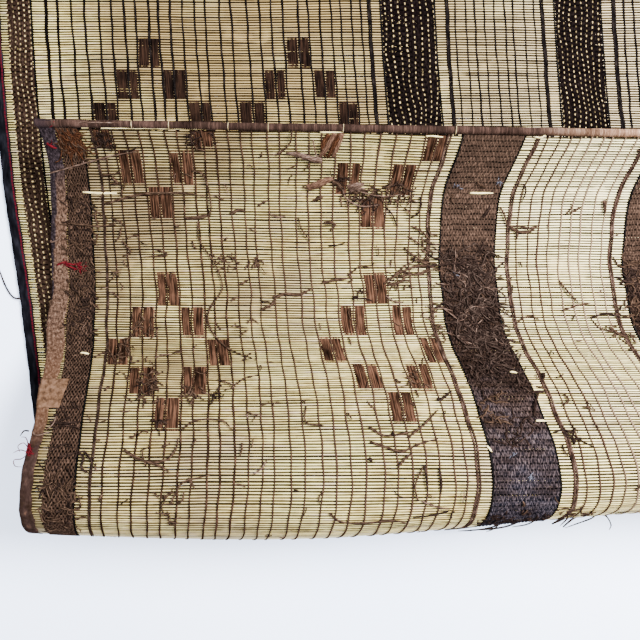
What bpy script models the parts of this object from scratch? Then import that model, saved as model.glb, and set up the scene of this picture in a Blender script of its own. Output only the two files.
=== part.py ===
# Reed and leather mat, laid on a floor with one end folded back over itself in a springy loop.
# X runs along the reeds, Y along the leather strings, +Z is up. Metres. The origin is on the floor, under
# the middle of the mat's bounding box. The folded end shows the mat's back, the long end its front.
import math
from collections import namedtuple

import bmesh
import bpy
import numpy as np
from mathutils import Vector

MM = 0.001
GAP = 0.3 * MM  # between pieces that touch on the real mat

MAT_WIDTH = 1200 * MM  # along the reeds, over both bindings
MAT_THICK = 4 * MM  # a reed with the strings on both its sides
HALF = MAT_THICK / 2
FIELD_START = 52 * MM  # from the outer edge to the first reed field: binding, bare reeds and leather band
BINDING_WIDTH = 15 * MM
BINDING_WALL = 1 * MM  # leather folded round the reeds' ends, flush with the mat's faces
TONGUE_HALF = HALF - BINDING_WALL - GAP  # half the mat's thickness inside the binding
ROLL_DEPTH = 10 * MM  # end roll: reeds whipped round with a leather cord
ROLL_HEIGHT = 9 * MM
PATCH_THICK = 1.2 * MM
PATCH_START = 301 * MM  # along the strings, from the edge of the folded end
PATCH_LENGTH = 35 * MM
PATCH_OUTER = 1 * MM  # its edges, from the mat's outer edge
PATCH_INNER = 27 * MM
PATCH_LEAN = 5 * MM  # its inner edge runs in by this much

FINE_STEP = 14 * MM  # between the sections where the mat bends
CURVED_ROWS = 24  # rows of the table below up to where the mat lies flat on the floor
FLAT_SPLITS = 2  # sections for each row where it lies flat
COLUMNS = 12  # sections across, where the loop's nose changes shape
NOSE_START = -364 * MM  # the loop is fullest here, and tighter and higher to both sides
NOSE_RIGHT = 524 * MM  # over this distance it takes its full right-hand shape
NOSE_LEFT = 830 * MM
ROLL_SIDES = 10

# The fold from the side, in millimetres, a row for each bend of the middle of its thickness. y and z are the
# fullest shape of the loop, y_right and z_right the tight one at the right. slide is how far the reeds have
# slipped along X, pinch how far the left edge is drawn in, skew how many mm a metre the row turns.
Row = namedtuple("Row", "y z y_right z_right slide pinch skew")
FOLD = [
    Row(203, 72, 203, 72, 4, 6, -17),  # edge of the folded end, curled up
    Row(193, 63, 193, 63, 4, 8, -17),
    Row(171, 44, 171, 44, 4, 9, -10),
    Row(137, 22, 137, 22, 1, 5, -3),
    Row(97, 12.5, 97, 12.5, 0, 2, 0),
    Row(62, 8.2, 62, 8.2, 0, 1, 0),  # valley, nearly on the layer below
    Row(28, 13, 28, 13, 3, 0, 0),
    Row(0, 20.5, 0, 20.5, 4, -3, 0),
    Row(-28, 35, -28, 35, 9, -2, 0),
    Row(-52, 58, -52, 58, 15, 0, 0),
    Row(-76, 82, -76, 82, 20, 0, 0),
    Row(-98, 99, -98, 99, 23, 2, 0),
    Row(-119, 114, -118, 117, 26, 1, 0),
    Row(-141, 124, -137, 132, 27, -1, 0),
    Row(-163, 128, -156, 139, 27, -2, 0),  # crest
    Row(-186, 127, -173, 133, 25, -2, 0),
    Row(-206, 117, -183, 117, 22, -2, 0),
    Row(-221, 98, -187, 97, 17, 0, 0),
    Row(-228, 75, -186, 73, 10, 0, 0),  # front of the loop
    Row(-224, 50, -177, 50, 1, 0, 0),
    Row(-208, 29, -162, 30, -7, 0, 0),
    Row(-185, 15, -141, 15.5, -14, 0, 0),
    Row(-157, 6.5, -115, 6.5, -18, 0, 0),
    Row(-127, 2, -86, 2, -22, 0, 0),  # down on the floor
    Row(-97, 2, -57, 2, -26, 0, 0),
    Row(-41, 2, -9, 2, -32, 0, 0),
    Row(41, 2, 60, 2, -42, 0, 0),
    Row(150, 2, 156, 2, -58, 0, 0),
    Row(248, 2, 248, 2, -68, 0, 0),
    Row(414, 2, 414, 2, -79, 0, 0),
    Row(690, 2, 690, 2, -87, 0, 0),
    Row(1021, 2, 1021, 2, -90, 0, 0),  # far end, square
]

TABLE = np.array(FOLD) * MM
KNOTS = np.concatenate([[0], np.cumsum(np.hypot(np.diff(TABLE[:, 0]), np.diff(TABLE[:, 1])))])
SLOPES = np.gradient(TABLE, KNOTS, axis=0)
LENGTH = KNOTS[-1]  # along the strings, rolls included


def row_at(along):
    """The table's columns at any length along the strings, on a smooth curve through its rows."""
    i = min(max(int(np.searchsorted(KNOTS, along)) - 1, 0), len(KNOTS) - 2)
    step = KNOTS[i + 1] - KNOTS[i]
    s = (along - KNOTS[i]) / step
    rise = TABLE[i + 1] - TABLE[i]
    bend = (1 - s) * (SLOPES[i] * step - rise) + s * (rise - SLOPES[i + 1] * step)
    return Row(*(TABLE[i] + s * rise + s * (1 - s) * bend))


def nose_share(x):
    """How much of the tight right-hand shape the loop has at x."""
    reach = (x - NOSE_START) / NOSE_RIGHT if x > NOSE_START else (NOSE_START - x) / NOSE_LEFT
    return math.sin(math.pi / 2 * min(reach, 1)) ** 2


def side_view(x, along):
    """Y and Z of the middle of the mat's thickness."""
    row = row_at(along)
    share = nose_share(x)
    y = row.y + (row.y_right - row.y) * share + row.skew * x
    z = row.z + (row.z_right - row.z) * share
    return np.array([y, max(z, HALF)])


def fold(across, along, proud):
    """Takes a point of the flat mat to its place on the folded one. proud is towards the front face."""
    x = across - MAT_WIDTH / 2
    row = row_at(along)
    run = side_view(x, along + MM) - side_view(x, along - MM)
    run /= np.hypot(*run)
    y, z = side_view(x, along) + proud * np.array([-run[1], run[0]])
    drawn_in = row.pinch * max(0, 1 - across / FIELD_START)
    return Vector((x + row.slide + drawn_in, y, z))


def stations(start, end):
    """Lengths along the strings for the sections between start and end: close where the mat bends."""
    bend_end = KNOTS[CURVED_ROWS]
    fine = np.linspace(0, bend_end, math.ceil(bend_end / FINE_STEP) + 1)
    flat = np.interp(
        np.arange(0, len(KNOTS) - CURVED_ROWS - 1 + 0.01, 1 / FLAT_SPLITS),
        np.arange(len(KNOTS) - CURVED_ROWS),
        KNOTS[CURVED_ROWS:],
    )
    inside = [w for w in (*fine, *flat[1:]) if start + GAP < w < end - GAP]
    return [start, *inside, end]


def swept(name, section, steps, place, finish):
    """A closed solid: the section's outline carried through the steps, each point put where place says."""
    mesh = bmesh.new()
    ring = [mesh.verts.new((a, 0, b)) for a, b in section]
    edges = [mesh.edges.new((v, ring[i - 1])) for i, v in enumerate(ring)]
    for _ in steps[1:]:
        out = bmesh.ops.extrude_edge_only(mesh, edges=edges)["geom"]
        edges = [e for e in out if isinstance(e, bmesh.types.BMEdge)]
        moved = [v for v in out if isinstance(v, bmesh.types.BMVert)]
        bmesh.ops.translate(mesh, verts=moved, vec=(0, 1, 0))
    bmesh.ops.holes_fill(mesh, edges=[e for e in mesh.edges if e.is_boundary], sides=0)
    for v in mesh.verts:
        v.co = place(v.co.x, steps[round(v.co.y)], v.co.z)
    bmesh.ops.recalc_face_normals(mesh, faces=mesh.faces)
    data = bpy.data.meshes.new(name)
    mesh.to_mesh(data)
    mesh.free()
    data.materials.append(finish)
    piece = bpy.data.objects.new(name, data)
    bpy.context.scene.collection.objects.link(piece)
    return piece


def finish_of(name, colour, roughness):
    finish = bpy.data.materials.new(name)
    finish.use_nodes = True
    shader = finish.node_tree.nodes["Principled BSDF"]
    shader.inputs["Base Color"].default_value = (*colour, 1)
    shader.inputs["Roughness"].default_value = roughness
    shader.inputs["Metallic"].default_value = 0
    return finish


def woven_mat(finish):
    """One sheet of reeds. Its long edges are thinner, where the bindings wrap them."""
    edge = BINDING_WALL + GAP
    inner = BINDING_WIDTH + GAP
    flat = np.linspace(inner, MAT_WIDTH - inner, COLUMNS)
    top = [(edge, TONGUE_HALF), (inner, TONGUE_HALF), *((u, HALF) for u in flat)]
    top += [(MAT_WIDTH - inner, TONGUE_HALF), (MAT_WIDTH - edge, TONGUE_HALF)]
    section = top + [(u, -t) for u, t in reversed(top)]
    steps = stations(ROLL_DEPTH + GAP, LENGTH - ROLL_DEPTH - GAP)
    return swept("woven_mat", section, steps, fold, finish)


def edge_binding(name, outer, way, finish):
    """A leather strip folded round one long edge. way is 1 from the left edge inwards, -1 from the right."""
    inside = HALF - BINDING_WALL
    section = [
        (0, -HALF),
        (BINDING_WIDTH, -HALF),
        (BINDING_WIDTH, -inside),
        (BINDING_WALL, -inside),
        (BINDING_WALL, inside),
        (BINDING_WIDTH, inside),
        (BINDING_WIDTH, HALF),
        (0, HALF),
    ]
    section = [(outer + way * u, t) for u, t in section]
    return swept(name, section, stations(0, LENGTH), fold, finish)


def end_roll(name, middle, rest, finish):
    """A whipped roll across one end, between the bindings. rest flattens the side that lies on the floor."""
    start, end = BINDING_WIDTH + GAP, MAT_WIDTH - BINDING_WIDTH - GAP
    turn = [2 * math.pi * (i + 0.5) / ROLL_SIDES for i in range(ROLL_SIDES)]
    rise = ROLL_HEIGHT / 2 - HALF if rest else 0
    round_section = [(ROLL_DEPTH / 2 * math.cos(a), ROLL_HEIGHT / 2 * math.sin(a) + rise) for a in turn]
    low = min(t for _, t in round_section)
    section = [(s, -HALF if rest and t < low + MM else t) for s, t in round_section]
    steps = np.linspace(start, end, COLUMNS)
    return swept(name, section, steps, lambda s, u, t: fold(u, middle + s, t), finish)


def sewn_patch(finish):
    """A scrap of leather sewn over the binding on the back, where the folded end rises to the loop."""
    near = -(HALF + GAP)
    section = [(0, near), (1, near), (1, near - PATCH_THICK), (0, near - PATCH_THICK)]
    steps = np.linspace(PATCH_START, PATCH_START + PATCH_LENGTH, 5)

    def place(share, along, proud):
        inner = PATCH_INNER - PATCH_LEAN * (along - PATCH_START) / PATCH_LENGTH
        return fold(PATCH_OUTER + share * (inner - PATCH_OUTER), along, proud)

    return swept("edge_patch", section, steps, place, finish)


def centre(pieces):
    """Moves the mat so that the origin is on the floor, under the middle of its bounding box."""
    points = np.array([v.co for p in pieces for v in p.data.vertices])
    low, high = points.min(axis=0), points.max(axis=0)
    shift = Vector((-(low[0] + high[0]) / 2, -(low[1] + high[1]) / 2, 0))
    for piece in pieces:
        for v in piece.data.vertices:
            v.co += shift


def build():
    for thing in list(bpy.data.objects):
        bpy.data.objects.remove(thing)
    reed = finish_of("woven_reed", (0.62, 0.52, 0.31), 0.6)
    black = finish_of("black_leather", (0.03, 0.026, 0.03), 0.7)
    brown = finish_of("whipping_leather", (0.16, 0.075, 0.05), 0.65)
    pale = finish_of("pale_leather", (0.34, 0.2, 0.13), 0.75)
    pieces = [
        woven_mat(reed),
        edge_binding("binding_left", 0, 1, black),
        edge_binding("binding_right", MAT_WIDTH, -1, black),
        end_roll("roll_folded_end", ROLL_DEPTH / 2, False, brown),
        end_roll("roll_long_end", LENGTH - ROLL_DEPTH / 2, True, brown),
        sewn_patch(pale),
    ]
    centre(pieces)


build()
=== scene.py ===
import math
from functools import partial

import bmesh
import bpy
import numpy as np
from mathutils import Matrix, Vector


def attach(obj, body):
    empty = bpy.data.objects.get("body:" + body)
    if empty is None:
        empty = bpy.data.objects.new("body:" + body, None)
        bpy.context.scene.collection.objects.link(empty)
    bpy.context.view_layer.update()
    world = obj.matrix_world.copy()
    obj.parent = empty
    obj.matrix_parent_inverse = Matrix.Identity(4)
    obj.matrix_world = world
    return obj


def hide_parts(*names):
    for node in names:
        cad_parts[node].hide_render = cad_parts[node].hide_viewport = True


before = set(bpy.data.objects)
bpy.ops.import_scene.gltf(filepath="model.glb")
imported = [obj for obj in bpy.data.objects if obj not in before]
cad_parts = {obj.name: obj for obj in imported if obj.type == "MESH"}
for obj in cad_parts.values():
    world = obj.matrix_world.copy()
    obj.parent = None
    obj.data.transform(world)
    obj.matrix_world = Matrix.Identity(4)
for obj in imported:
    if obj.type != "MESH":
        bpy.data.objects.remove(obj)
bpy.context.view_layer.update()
print("frame loaded")

# Sizes are in metres, or in mm where a note says so
mm = 0.001
mat = {
    "width": 1.2,  # along the reeds
    "spacing": 0.0138,  # from string to string
    "reeds": 593,
    "start": 0.0103,  # first reed, clear of the end roll
    "half": 0.002,  # half the thickness, strings included
}

# How the mat lies, in mm: y and z where the loop is widest, y and z where it is tightest, slide, pinch,
# and skew in mm to the metre
foldRows = mm * np.array([
    (203, 72, 203, 72, 4, 6, -17),  # edge of the folded end
    (193, 63, 193, 63, 4, 8, -17),
    (171, 44, 171, 44, 4, 9, -10),
    (137, 22, 137, 22, 1, 5, -3),
    (97, 12.5, 97, 12.5, 0, 2, 0),
    (62, 8.2, 62, 8.2, 0, 1, 0),  # valley
    (28, 13, 28, 13, 3, 0, 0),
    (0, 20.5, 0, 20.5, 4, -3, 0),
    (-28, 35, -28, 35, 9, -2, 0),
    (-52, 58, -52, 58, 15, 0, 0),
    (-76, 82, -76, 82, 20, 0, 0),
    (-98, 99, -98, 99, 23, 2, 0),
    (-119, 114, -118, 117, 26, 1, 0),
    (-141, 124, -137, 132, 27, -1, 0),
    (-163, 128, -156, 139, 27, -2, 0),  # crest
    (-186, 127, -173, 133, 25, -2, 0),
    (-206, 117, -183, 117, 22, -2, 0),
    (-221, 98, -187, 97, 17, 0, 0),
    (-228, 75, -186, 73, 10, 0, 0),  # front of the loop
    (-224, 50, -177, 50, 1, 0, 0),
    (-208, 29, -162, 30, -7, 0, 0),
    (-185, 15, -141, 15.5, -14, 0, 0),
    (-157, 6.5, -115, 6.5, -18, 0, 0),
    (-127, 2, -86, 2, -22, 0, 0),  # down on the floor
    (-97, 2, -57, 2, -26, 0, 0),
    (-41, 2, -9, 2, -32, 0, 0),
    (41, 2, 60, 2, -42, 0, 0),
    (150, 2, 156, 2, -58, 0, 0),
    (248, 2, 248, 2, -68, 0, 0),
    (414, 2, 414, 2, -79, 0, 0),
    (690, 2, 690, 2, -87, 0, 0),
    (1021, 2, 1021, 2, -90, 0, 0),  # far end
])
nose = {"start": -0.364, "right": 0.524, "left": 0.830}  # where the loop is widest, and how far to each side
fieldStart = 0.052  # how wide a strip at the left edge is drawn in
toCentre = np.array([0.031447, -0.395479, 0])  # to the middle of the part's own frame
# How far along the mat each row lies
knots = np.concatenate([[0], np.cumsum(np.hypot(np.diff(foldRows[:, 0]), np.diff(foldRows[:, 1])))])
slopes = np.gradient(foldRows, knots, axis=0)
matLength = knots[-1]
pitch = (matLength - 2 * mat["start"]) / mat["reeds"]


def rowAt(along):
    # The row of the table at any place along the mat, on a smooth curve through its rows
    i = np.clip(np.searchsorted(knots, along) - 1, 0, len(knots) - 2)
    step = (knots[i + 1] - knots[i])[:, None]
    s = (along - knots[i])[:, None] / step
    rise = foldRows[i + 1] - foldRows[i]
    bend = (1 - s) * (slopes[i] * step - rise) + s * (rise - slopes[i + 1] * step)
    return foldRows[i] + s * rise + s * (1 - s) * bend


def sideView(x, along):
    # y and z of the mat's middle at x: the loop goes over to its tighter form towards both sides
    row = rowAt(along)
    rightward = (x - nose["start"]) / nose["right"]
    leftward = (nose["start"] - x) / nose["left"]
    share = np.sin(math.pi / 2 * np.clip(np.maximum(rightward, leftward), 0, 1)) ** 2
    y = row[:, 0] + (row[:, 2] - row[:, 0]) * share + row[:, 6] * x
    z = np.maximum(row[:, 1] + (row[:, 3] - row[:, 1]) * share, mat["half"])
    return np.stack([y, z], axis=1)


def foldMat(flat):
    # Takes points of the flat mat (across, along, proud of its middle) to where they lie
    across, along, proud = flat[:, 0], flat[:, 1], flat[:, 2]
    x = across - mat["width"] / 2
    row = rowAt(along)
    run = sideView(x, along + mm) - sideView(x, along - mm)
    run /= np.hypot(run[:, 0], run[:, 1])[:, None]
    side = sideView(x, along) + proud[:, None] * np.stack([-run[:, 1], run[:, 0]], axis=1)
    drawnIn = row[:, 5] * np.maximum(0, 1 - across / fieldStart)
    return np.stack([x + row[:, 4] + drawnIn, side[:, 0], side[:, 1]], axis=1) + toCentre


# Plan of the mat across its width, in string spacings from the left edge
bands = [
    {"from": 1.5, "to": 3.75, "thongs": 9},
    {"from": 32.75, "to": 37.5, "thongs": 18},
    {"from": 48.2, "to": 52.9, "thongs": 18},
    {"from": 83.2, "to": 85.46, "thongs": 9},
]
wideGaps = [12, 10, 13, 12, 13, 11, 13, 11, 13, 10, 12, 12, 12, 10, 14, 11, 15, 12, 12, 12, 15, 11, 12, 12,
            11, 12, 10, 9, 11]  # between the strings of a wide field
narrowGaps = [12, 9, 11, 10, 10, 11, 11, 9, 12, 11, 9, 12]
fields = [
    {"from": 3.75, "to": 32.75, "gaps": wideGaps, "doubles": (1, 28)},
    {"from": 37.5, "to": 48.2, "gaps": narrowGaps, "doubles": (1, 11)},
    {"from": 52.9, "to": 83.2, "gaps": wideGaps[::-1], "doubles": (1, 28)},
]


# Helpers for meshes and materials
def colour(hexValue):
    channels = [int(hexValue[i:i + 2], 16) / 255 for i in (1, 3, 5)]
    return tuple(c / 12.92 if c <= 0.04045 else ((c + 0.055) / 1.055) ** 2.4 for c in channels) + (1,)


def addNode(tree, kind, inputs=(), out=0, stops=(), **settings):
    # Inputs go by their order or by name, and each is a value or another node's output.
    # Stops are the places and colours of a ramp.
    node = tree.nodes.new("ShaderNode" + kind)
    for name, value in settings.items():
        setattr(node, name, value)
    for name, value in (inputs.items() if isinstance(inputs, dict) else enumerate(inputs)):
        if isinstance(value, bpy.types.NodeSocket):
            tree.links.new(value, node.inputs[name])
        else:
            node.inputs[name].default_value = value
    for number, (place, tone) in enumerate(stops):
        elements = node.color_ramp.elements
        element = elements[number] if number < len(elements) else elements.new(place)
        element.position = place
        element.color = colour(tone)
    return node.outputs[out]


def newMaterial(name, roughness, specular=0.5):
    material = bpy.data.materials.new(name)
    material.use_nodes = True
    shader = material.node_tree.nodes["Principled BSDF"]
    shader.inputs["Roughness"].default_value = roughness
    shader.inputs["Specular IOR Level"].default_value = specular
    return material, partial(addNode, material.node_tree), shader


def readPlan(add):
    # The piece's own map, which lays it out flat in metres, and that map's u and v
    plan = add("UVMap", uv_map="plan")
    u = add("SeparateXYZ", (plan,))
    return plan, u, u.node.outputs[1]


def finishSurface(add, shader, skin, relief, depth):
    # Where relief is 1 the surface stands depth metres above where it is 0
    links = shader.id_data.links
    links.new(skin, shader.inputs["Base Color"])
    links.new(add("Bump", {"Height": relief, "Distance": depth}), shader.inputs["Normal"])


def newPiece(name, bm, material):
    data = bpy.data.meshes.new(name)
    bm.to_mesh(data)
    bm.free()
    data.materials.append(material)
    data.polygons.foreach_set("use_smooth", [True] * len(data.polygons))
    piece = bpy.data.objects.new(name, data)
    bpy.context.scene.collection.objects.link(piece)
    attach(piece, "root")
    return piece


def repeatAlong(bm, count, axis, step):
    # Copies what bm holds, which lies within one step of zero along the axis, until there are count of it
    made = 1
    while made < count:
        more = min(made, count - made)
        geom = [v for v in bm.verts if v.co[axis] < more * step]
        geom += [e for e in bm.edges if e.verts[0].co[axis] < more * step]
        geom += [f for f in bm.faces if f.verts[0].co[axis] < more * step]
        copies = bmesh.ops.duplicate(bm, geom=geom)["geom"]
        offset = Vector((0, 0, 0))
        offset[axis] = made * step
        bmesh.ops.translate(bm, verts=[g for g in copies if isinstance(g, bmesh.types.BMVert)], vec=offset)
        made += more


def pointsOf(piece):
    points = np.empty(len(piece.data.vertices) * 3)
    piece.data.vertices.foreach_get("co", points)
    return points.reshape(-1, 3)


def giveMap(piece, plan):
    corners = np.empty(len(piece.data.loops), int)
    piece.data.loops.foreach_get("vertex_index", corners)
    layer = piece.data.uv_layers.new(name="plan")
    layer.uv.foreach_set("vector", plan[corners, :2].astype(np.float32).ravel())


def layOnMat(piece, flat, plan=None):
    # plan is what the material reads, in metres: the flat mat's own plan unless another is given
    giveMap(piece, flat if plan is None else plan)
    piece.data.vertices.foreach_set("co", foldMat(flat).ravel())
    piece.data.update()


def wander(rng, count, places, size, shortest):
    # count smooth random curves through places, each made of a few slow waves
    total = np.zeros((count, len(places)))
    for part, length in ((0.45, 1), (0.35, 2.1), (0.35, 4.7), (0.3, 9.0)):
        shift = rng.uniform(0, 2 * math.pi, (count, 1))
        waves = shortest * length * rng.uniform(0.8, 1.25, (count, 1))
        total += part * np.sin(2 * math.pi * places[None, :] / waves + shift)
    return size * total


# Materials
def offMiddle(add, value):
    # 0 in the middle of each whole step of value and 0.5 at its ends
    share = add("Math", (value,), operation="FRACT")
    return add("Math", (add("Math", (share, 0.5), operation="SUBTRACT"),), operation="ABSOLUTE")


def reedRow(add, v):
    return add("Math", (add("Math", (v, mat["start"]), operation="SUBTRACT"), pitch), operation="DIVIDE")


def makeReed():
    # Split and dried marsh reed: a straw skin with a satin gloss, dark with dust and painted shade in the
    # grooves between reeds
    material, add, shader = newMaterial("driedReed", 0.45, 0.45)
    plan, u, v = readPlan(add)
    row = reedRow(add, v)
    index = add("Math", (row,), operation="FLOOR")
    each = add("TexWhiteNoise", {"W": index}, noise_dimensions="1D")
    # a tone for each reed, which changes every 16 mm along it
    spot = add("CombineXYZ", (add("Math", (u, 62.0), operation="MULTIPLY"),
                              add("Math", (index, 3.7), operation="MULTIPLY")))
    dash = add("TexNoise", {"Vector": spot, "Scale": 1.0, "Detail": 2.0, "Roughness": 0.6})
    tone = add("Math", (add("Math", (each, 0.3), operation="MULTIPLY"),
                        add("Math", (dash, 0.85), operation="MULTIPLY")), operation="ADD")
    skin = add("ValToRGB", (tone,), stops=[(0.22, "#5F4B24"), (0.38, "#9C8547"), (0.58, "#C8B46E"),
                                           (0.8, "#E6D694")])
    # grey, green and pinkish patches, and dark specks
    weather = add("TexNoise", {"Vector": plan, "Scale": 8.0, "Detail": 3.0, "Roughness": 0.6})
    # Cells to the metre along the reeds and across them: patches of 200 by 125 mm, tints of 45 mm on a reed,
    # specks of 7 by 2.4 mm, shade of 42 mm along a groove, and fibres of 17 by 0.5 mm, coarse enough to show
    patterns = []
    for perMetre, detail in (((5, 8, 1), 2.0), ((22, 340, 1), 2.0), ((150, 420, 1), 1.0), ((24, 500, 1), 2.0),
                             ((60, 2200, 1), 2.0)):
        stretched = add("Mapping", {"Vector": plan, "Scale": perMetre})
        patterns.append(add("TexNoise", {"Vector": stretched, "Scale": 1.0, "Detail": detail}))
    greens, tints, specks, broad, fibres = patterns
    for pattern, low, high, most, tint in ((weather, 0.52, 0.68, 0.5, "#A08E7C"),
                                           (greens, 0.5, 0.68, 0.45, "#B0AC74"),
                                           (tints, 0.57, 0.68, 0.55, "#C6AFA0"),
                                           (tints, 0.46, 0.32, 0.55, "#B6B678"),
                                           (specks, 0.72, 0.78, 0.7, "#6A4A2A")):
        amount = add("MapRange", (pattern, low, high, 0.0, most))
        skin = add("Mix", {0: amount, 6: skin, 7: colour(tint)}, 2, data_type="RGBA")
    # darker at the left of the folded end, partly with age and partly as painted shade, darker and browner
    # on the floor, and lit at its right with painted light
    fromLeft = add("Math", (add("MapRange", (u, 0.05, 0.5, 0.85, 0.12)),
                            add("MapRange", (v, 0.1, 0.36, 1.25, 0.85))), operation="MULTIPLY")
    fromLeft = add("Math", (fromLeft, add("MapRange", (v, 0.5, 0.6, 1.0, 0.0))), operation="MULTIPLY")
    onFloor = add("Math", (add("MapRange", (v, 0.5, 0.62, 0.0, 1.0)), add("MapRange", (u, 0.03, 0.2))),
                  operation="MULTIPLY")
    # darkening: age and painted shade at the left of the folded end, and the darker floor
    darkening = add("Math", (fromLeft, onFloor), operation="ADD")
    amount = add("Math", (darkening, add("MapRange", (weather, 0.3, 0.6, 0.5, 1.3))), operation="MULTIPLY")
    skin = add("Mix", {0: amount, 6: skin, 7: colour("#6A5836")}, 2, data_type="RGBA")
    # painted light at the right of the folded end, strongest near its top
    paintedLight = add("Math", (add("MapRange", (u, 0.42, 0.62)), add("MapRange", (v, 0.06, 0.2, 0.65, 0.1))),
                   operation="MULTIPLY")
    skin = add("Mix", {0: paintedLight, 6: skin, 7: colour("#FFF2BC")}, 2, data_type="RGBA")
    amount = add("Math", (onFloor, add("MapRange", (weather, 0.3, 0.6, 0.1, 0.35))), operation="MULTIPLY")
    skin = add("Mix", {0: amount, 6: skin, 7: colour("#8A7038")}, 2, data_type="RGBA")
    # dust and shade in the grooves between reeds, with patches where dust has filled them
    groove = add("TexWhiteNoise", {"W": add("Math", (row,), operation="ROUND")}, noise_dimensions="1D")
    deep = add("Math", (add("Math", (groove, 0.5), operation="MULTIPLY"), broad), operation="ADD")
    # worn sets how far a groove's dust and painted shade reach across a reed: further where deep is higher,
    # and further towards the right
    worn = add("Math", (add("MapRange", (u, 0.42, 0.6, 0.485, 0.46)),
                        add("Math", (deep, 0.34), operation="MULTIPLY")), operation="SUBTRACT")
    shaded = add("Math", (worn, 0.1), operation="SUBTRACT")
    dark = add("MapRange", (offMiddle(add, row), shaded, worn, 0.0, 0.94))
    stretched = add("Mapping", {"Vector": plan, "Scale": (14, 20, 1)})
    dusty = add("TexNoise", {"Vector": stretched, "Scale": 1.0, "Detail": 3.0, "Roughness": 0.6})
    dark = add("Math", (dark, add("MapRange", (dusty, 0.6, 0.72, 1.0, 0.45))), operation="MULTIPLY")
    amount = add("MapRange", (dusty, 0.6, 0.72, 0.0, 0.35))
    skin = add("Mix", {0: amount, 6: skin, 7: colour("#A08658")}, 2, data_type="RGBA")
    skin = add("Mix", {0: dark, 6: skin, 7: colour("#120B05")}, 2, data_type="RGBA")
    gloss = add("MapRange", (dark, 0.0, 1.0, 0.45, 0.0))
    material.node_tree.links.new(gloss, shader.inputs["Specular IOR Level"])
    finishSurface(add, shader, skin, fibres, 0.00012)
    return material


def makeThong(name, dark, middle, light, dipShade, faded=0.0):
    # Goat hide cut in narrow thongs: matt, with the flesh side's fibres, and painted shade where it dips
    # between reeds.
    # Its fibres are drawn 0.7 by 2.5 mm, because real ones are a tenth of that and wouldn't show.
    material, add, shader = newMaterial(name, 0.9, 0.0)
    plan, u, v = readPlan(add)
    stretched = add("Mapping", {"Vector": plan, "Scale": (260, 90, 1)})
    tone = add("TexNoise", {"Vector": stretched, "Scale": 1.0, "Detail": 3.0, "Roughness": 0.6})
    hide = add("ValToRGB", (tone,), stops=[(0.3, dark), (0.5, middle), (0.72, light)])
    # painted shade where the thong dips between reeds
    dip = add("MapRange", (offMiddle(add, reedRow(add, v)), 0.25, 0.5, 0.0, dipShade))
    hide = add("Mix", {0: dip, 6: hide, 7: colour(dark)}, 2, data_type="RGBA")
    # darker near the left edge, and paler by steps towards the right
    for low, high, first, last, tint in ((0.07, 0.13, 0.55, 0.0, dark), (0.2, 0.32, 0.0, faded, "#33251E"),
                                         (0.57, 0.6, 0.0, faded, "#74624F")):
        amount = add("MapRange", (u, low, high, first, last))
        hide = add("Mix", {0: amount, 6: hide, 7: colour(tint)}, 2, data_type="RGBA")
    stretched = add("Mapping", {"Vector": plan, "Scale": (1500, 400, 1)})
    fibres = add("TexNoise", {"Vector": stretched, "Scale": 1.0, "Detail": 3.0})
    finishSurface(add, shader, hide, fibres, 0.0003)
    return material


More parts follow.
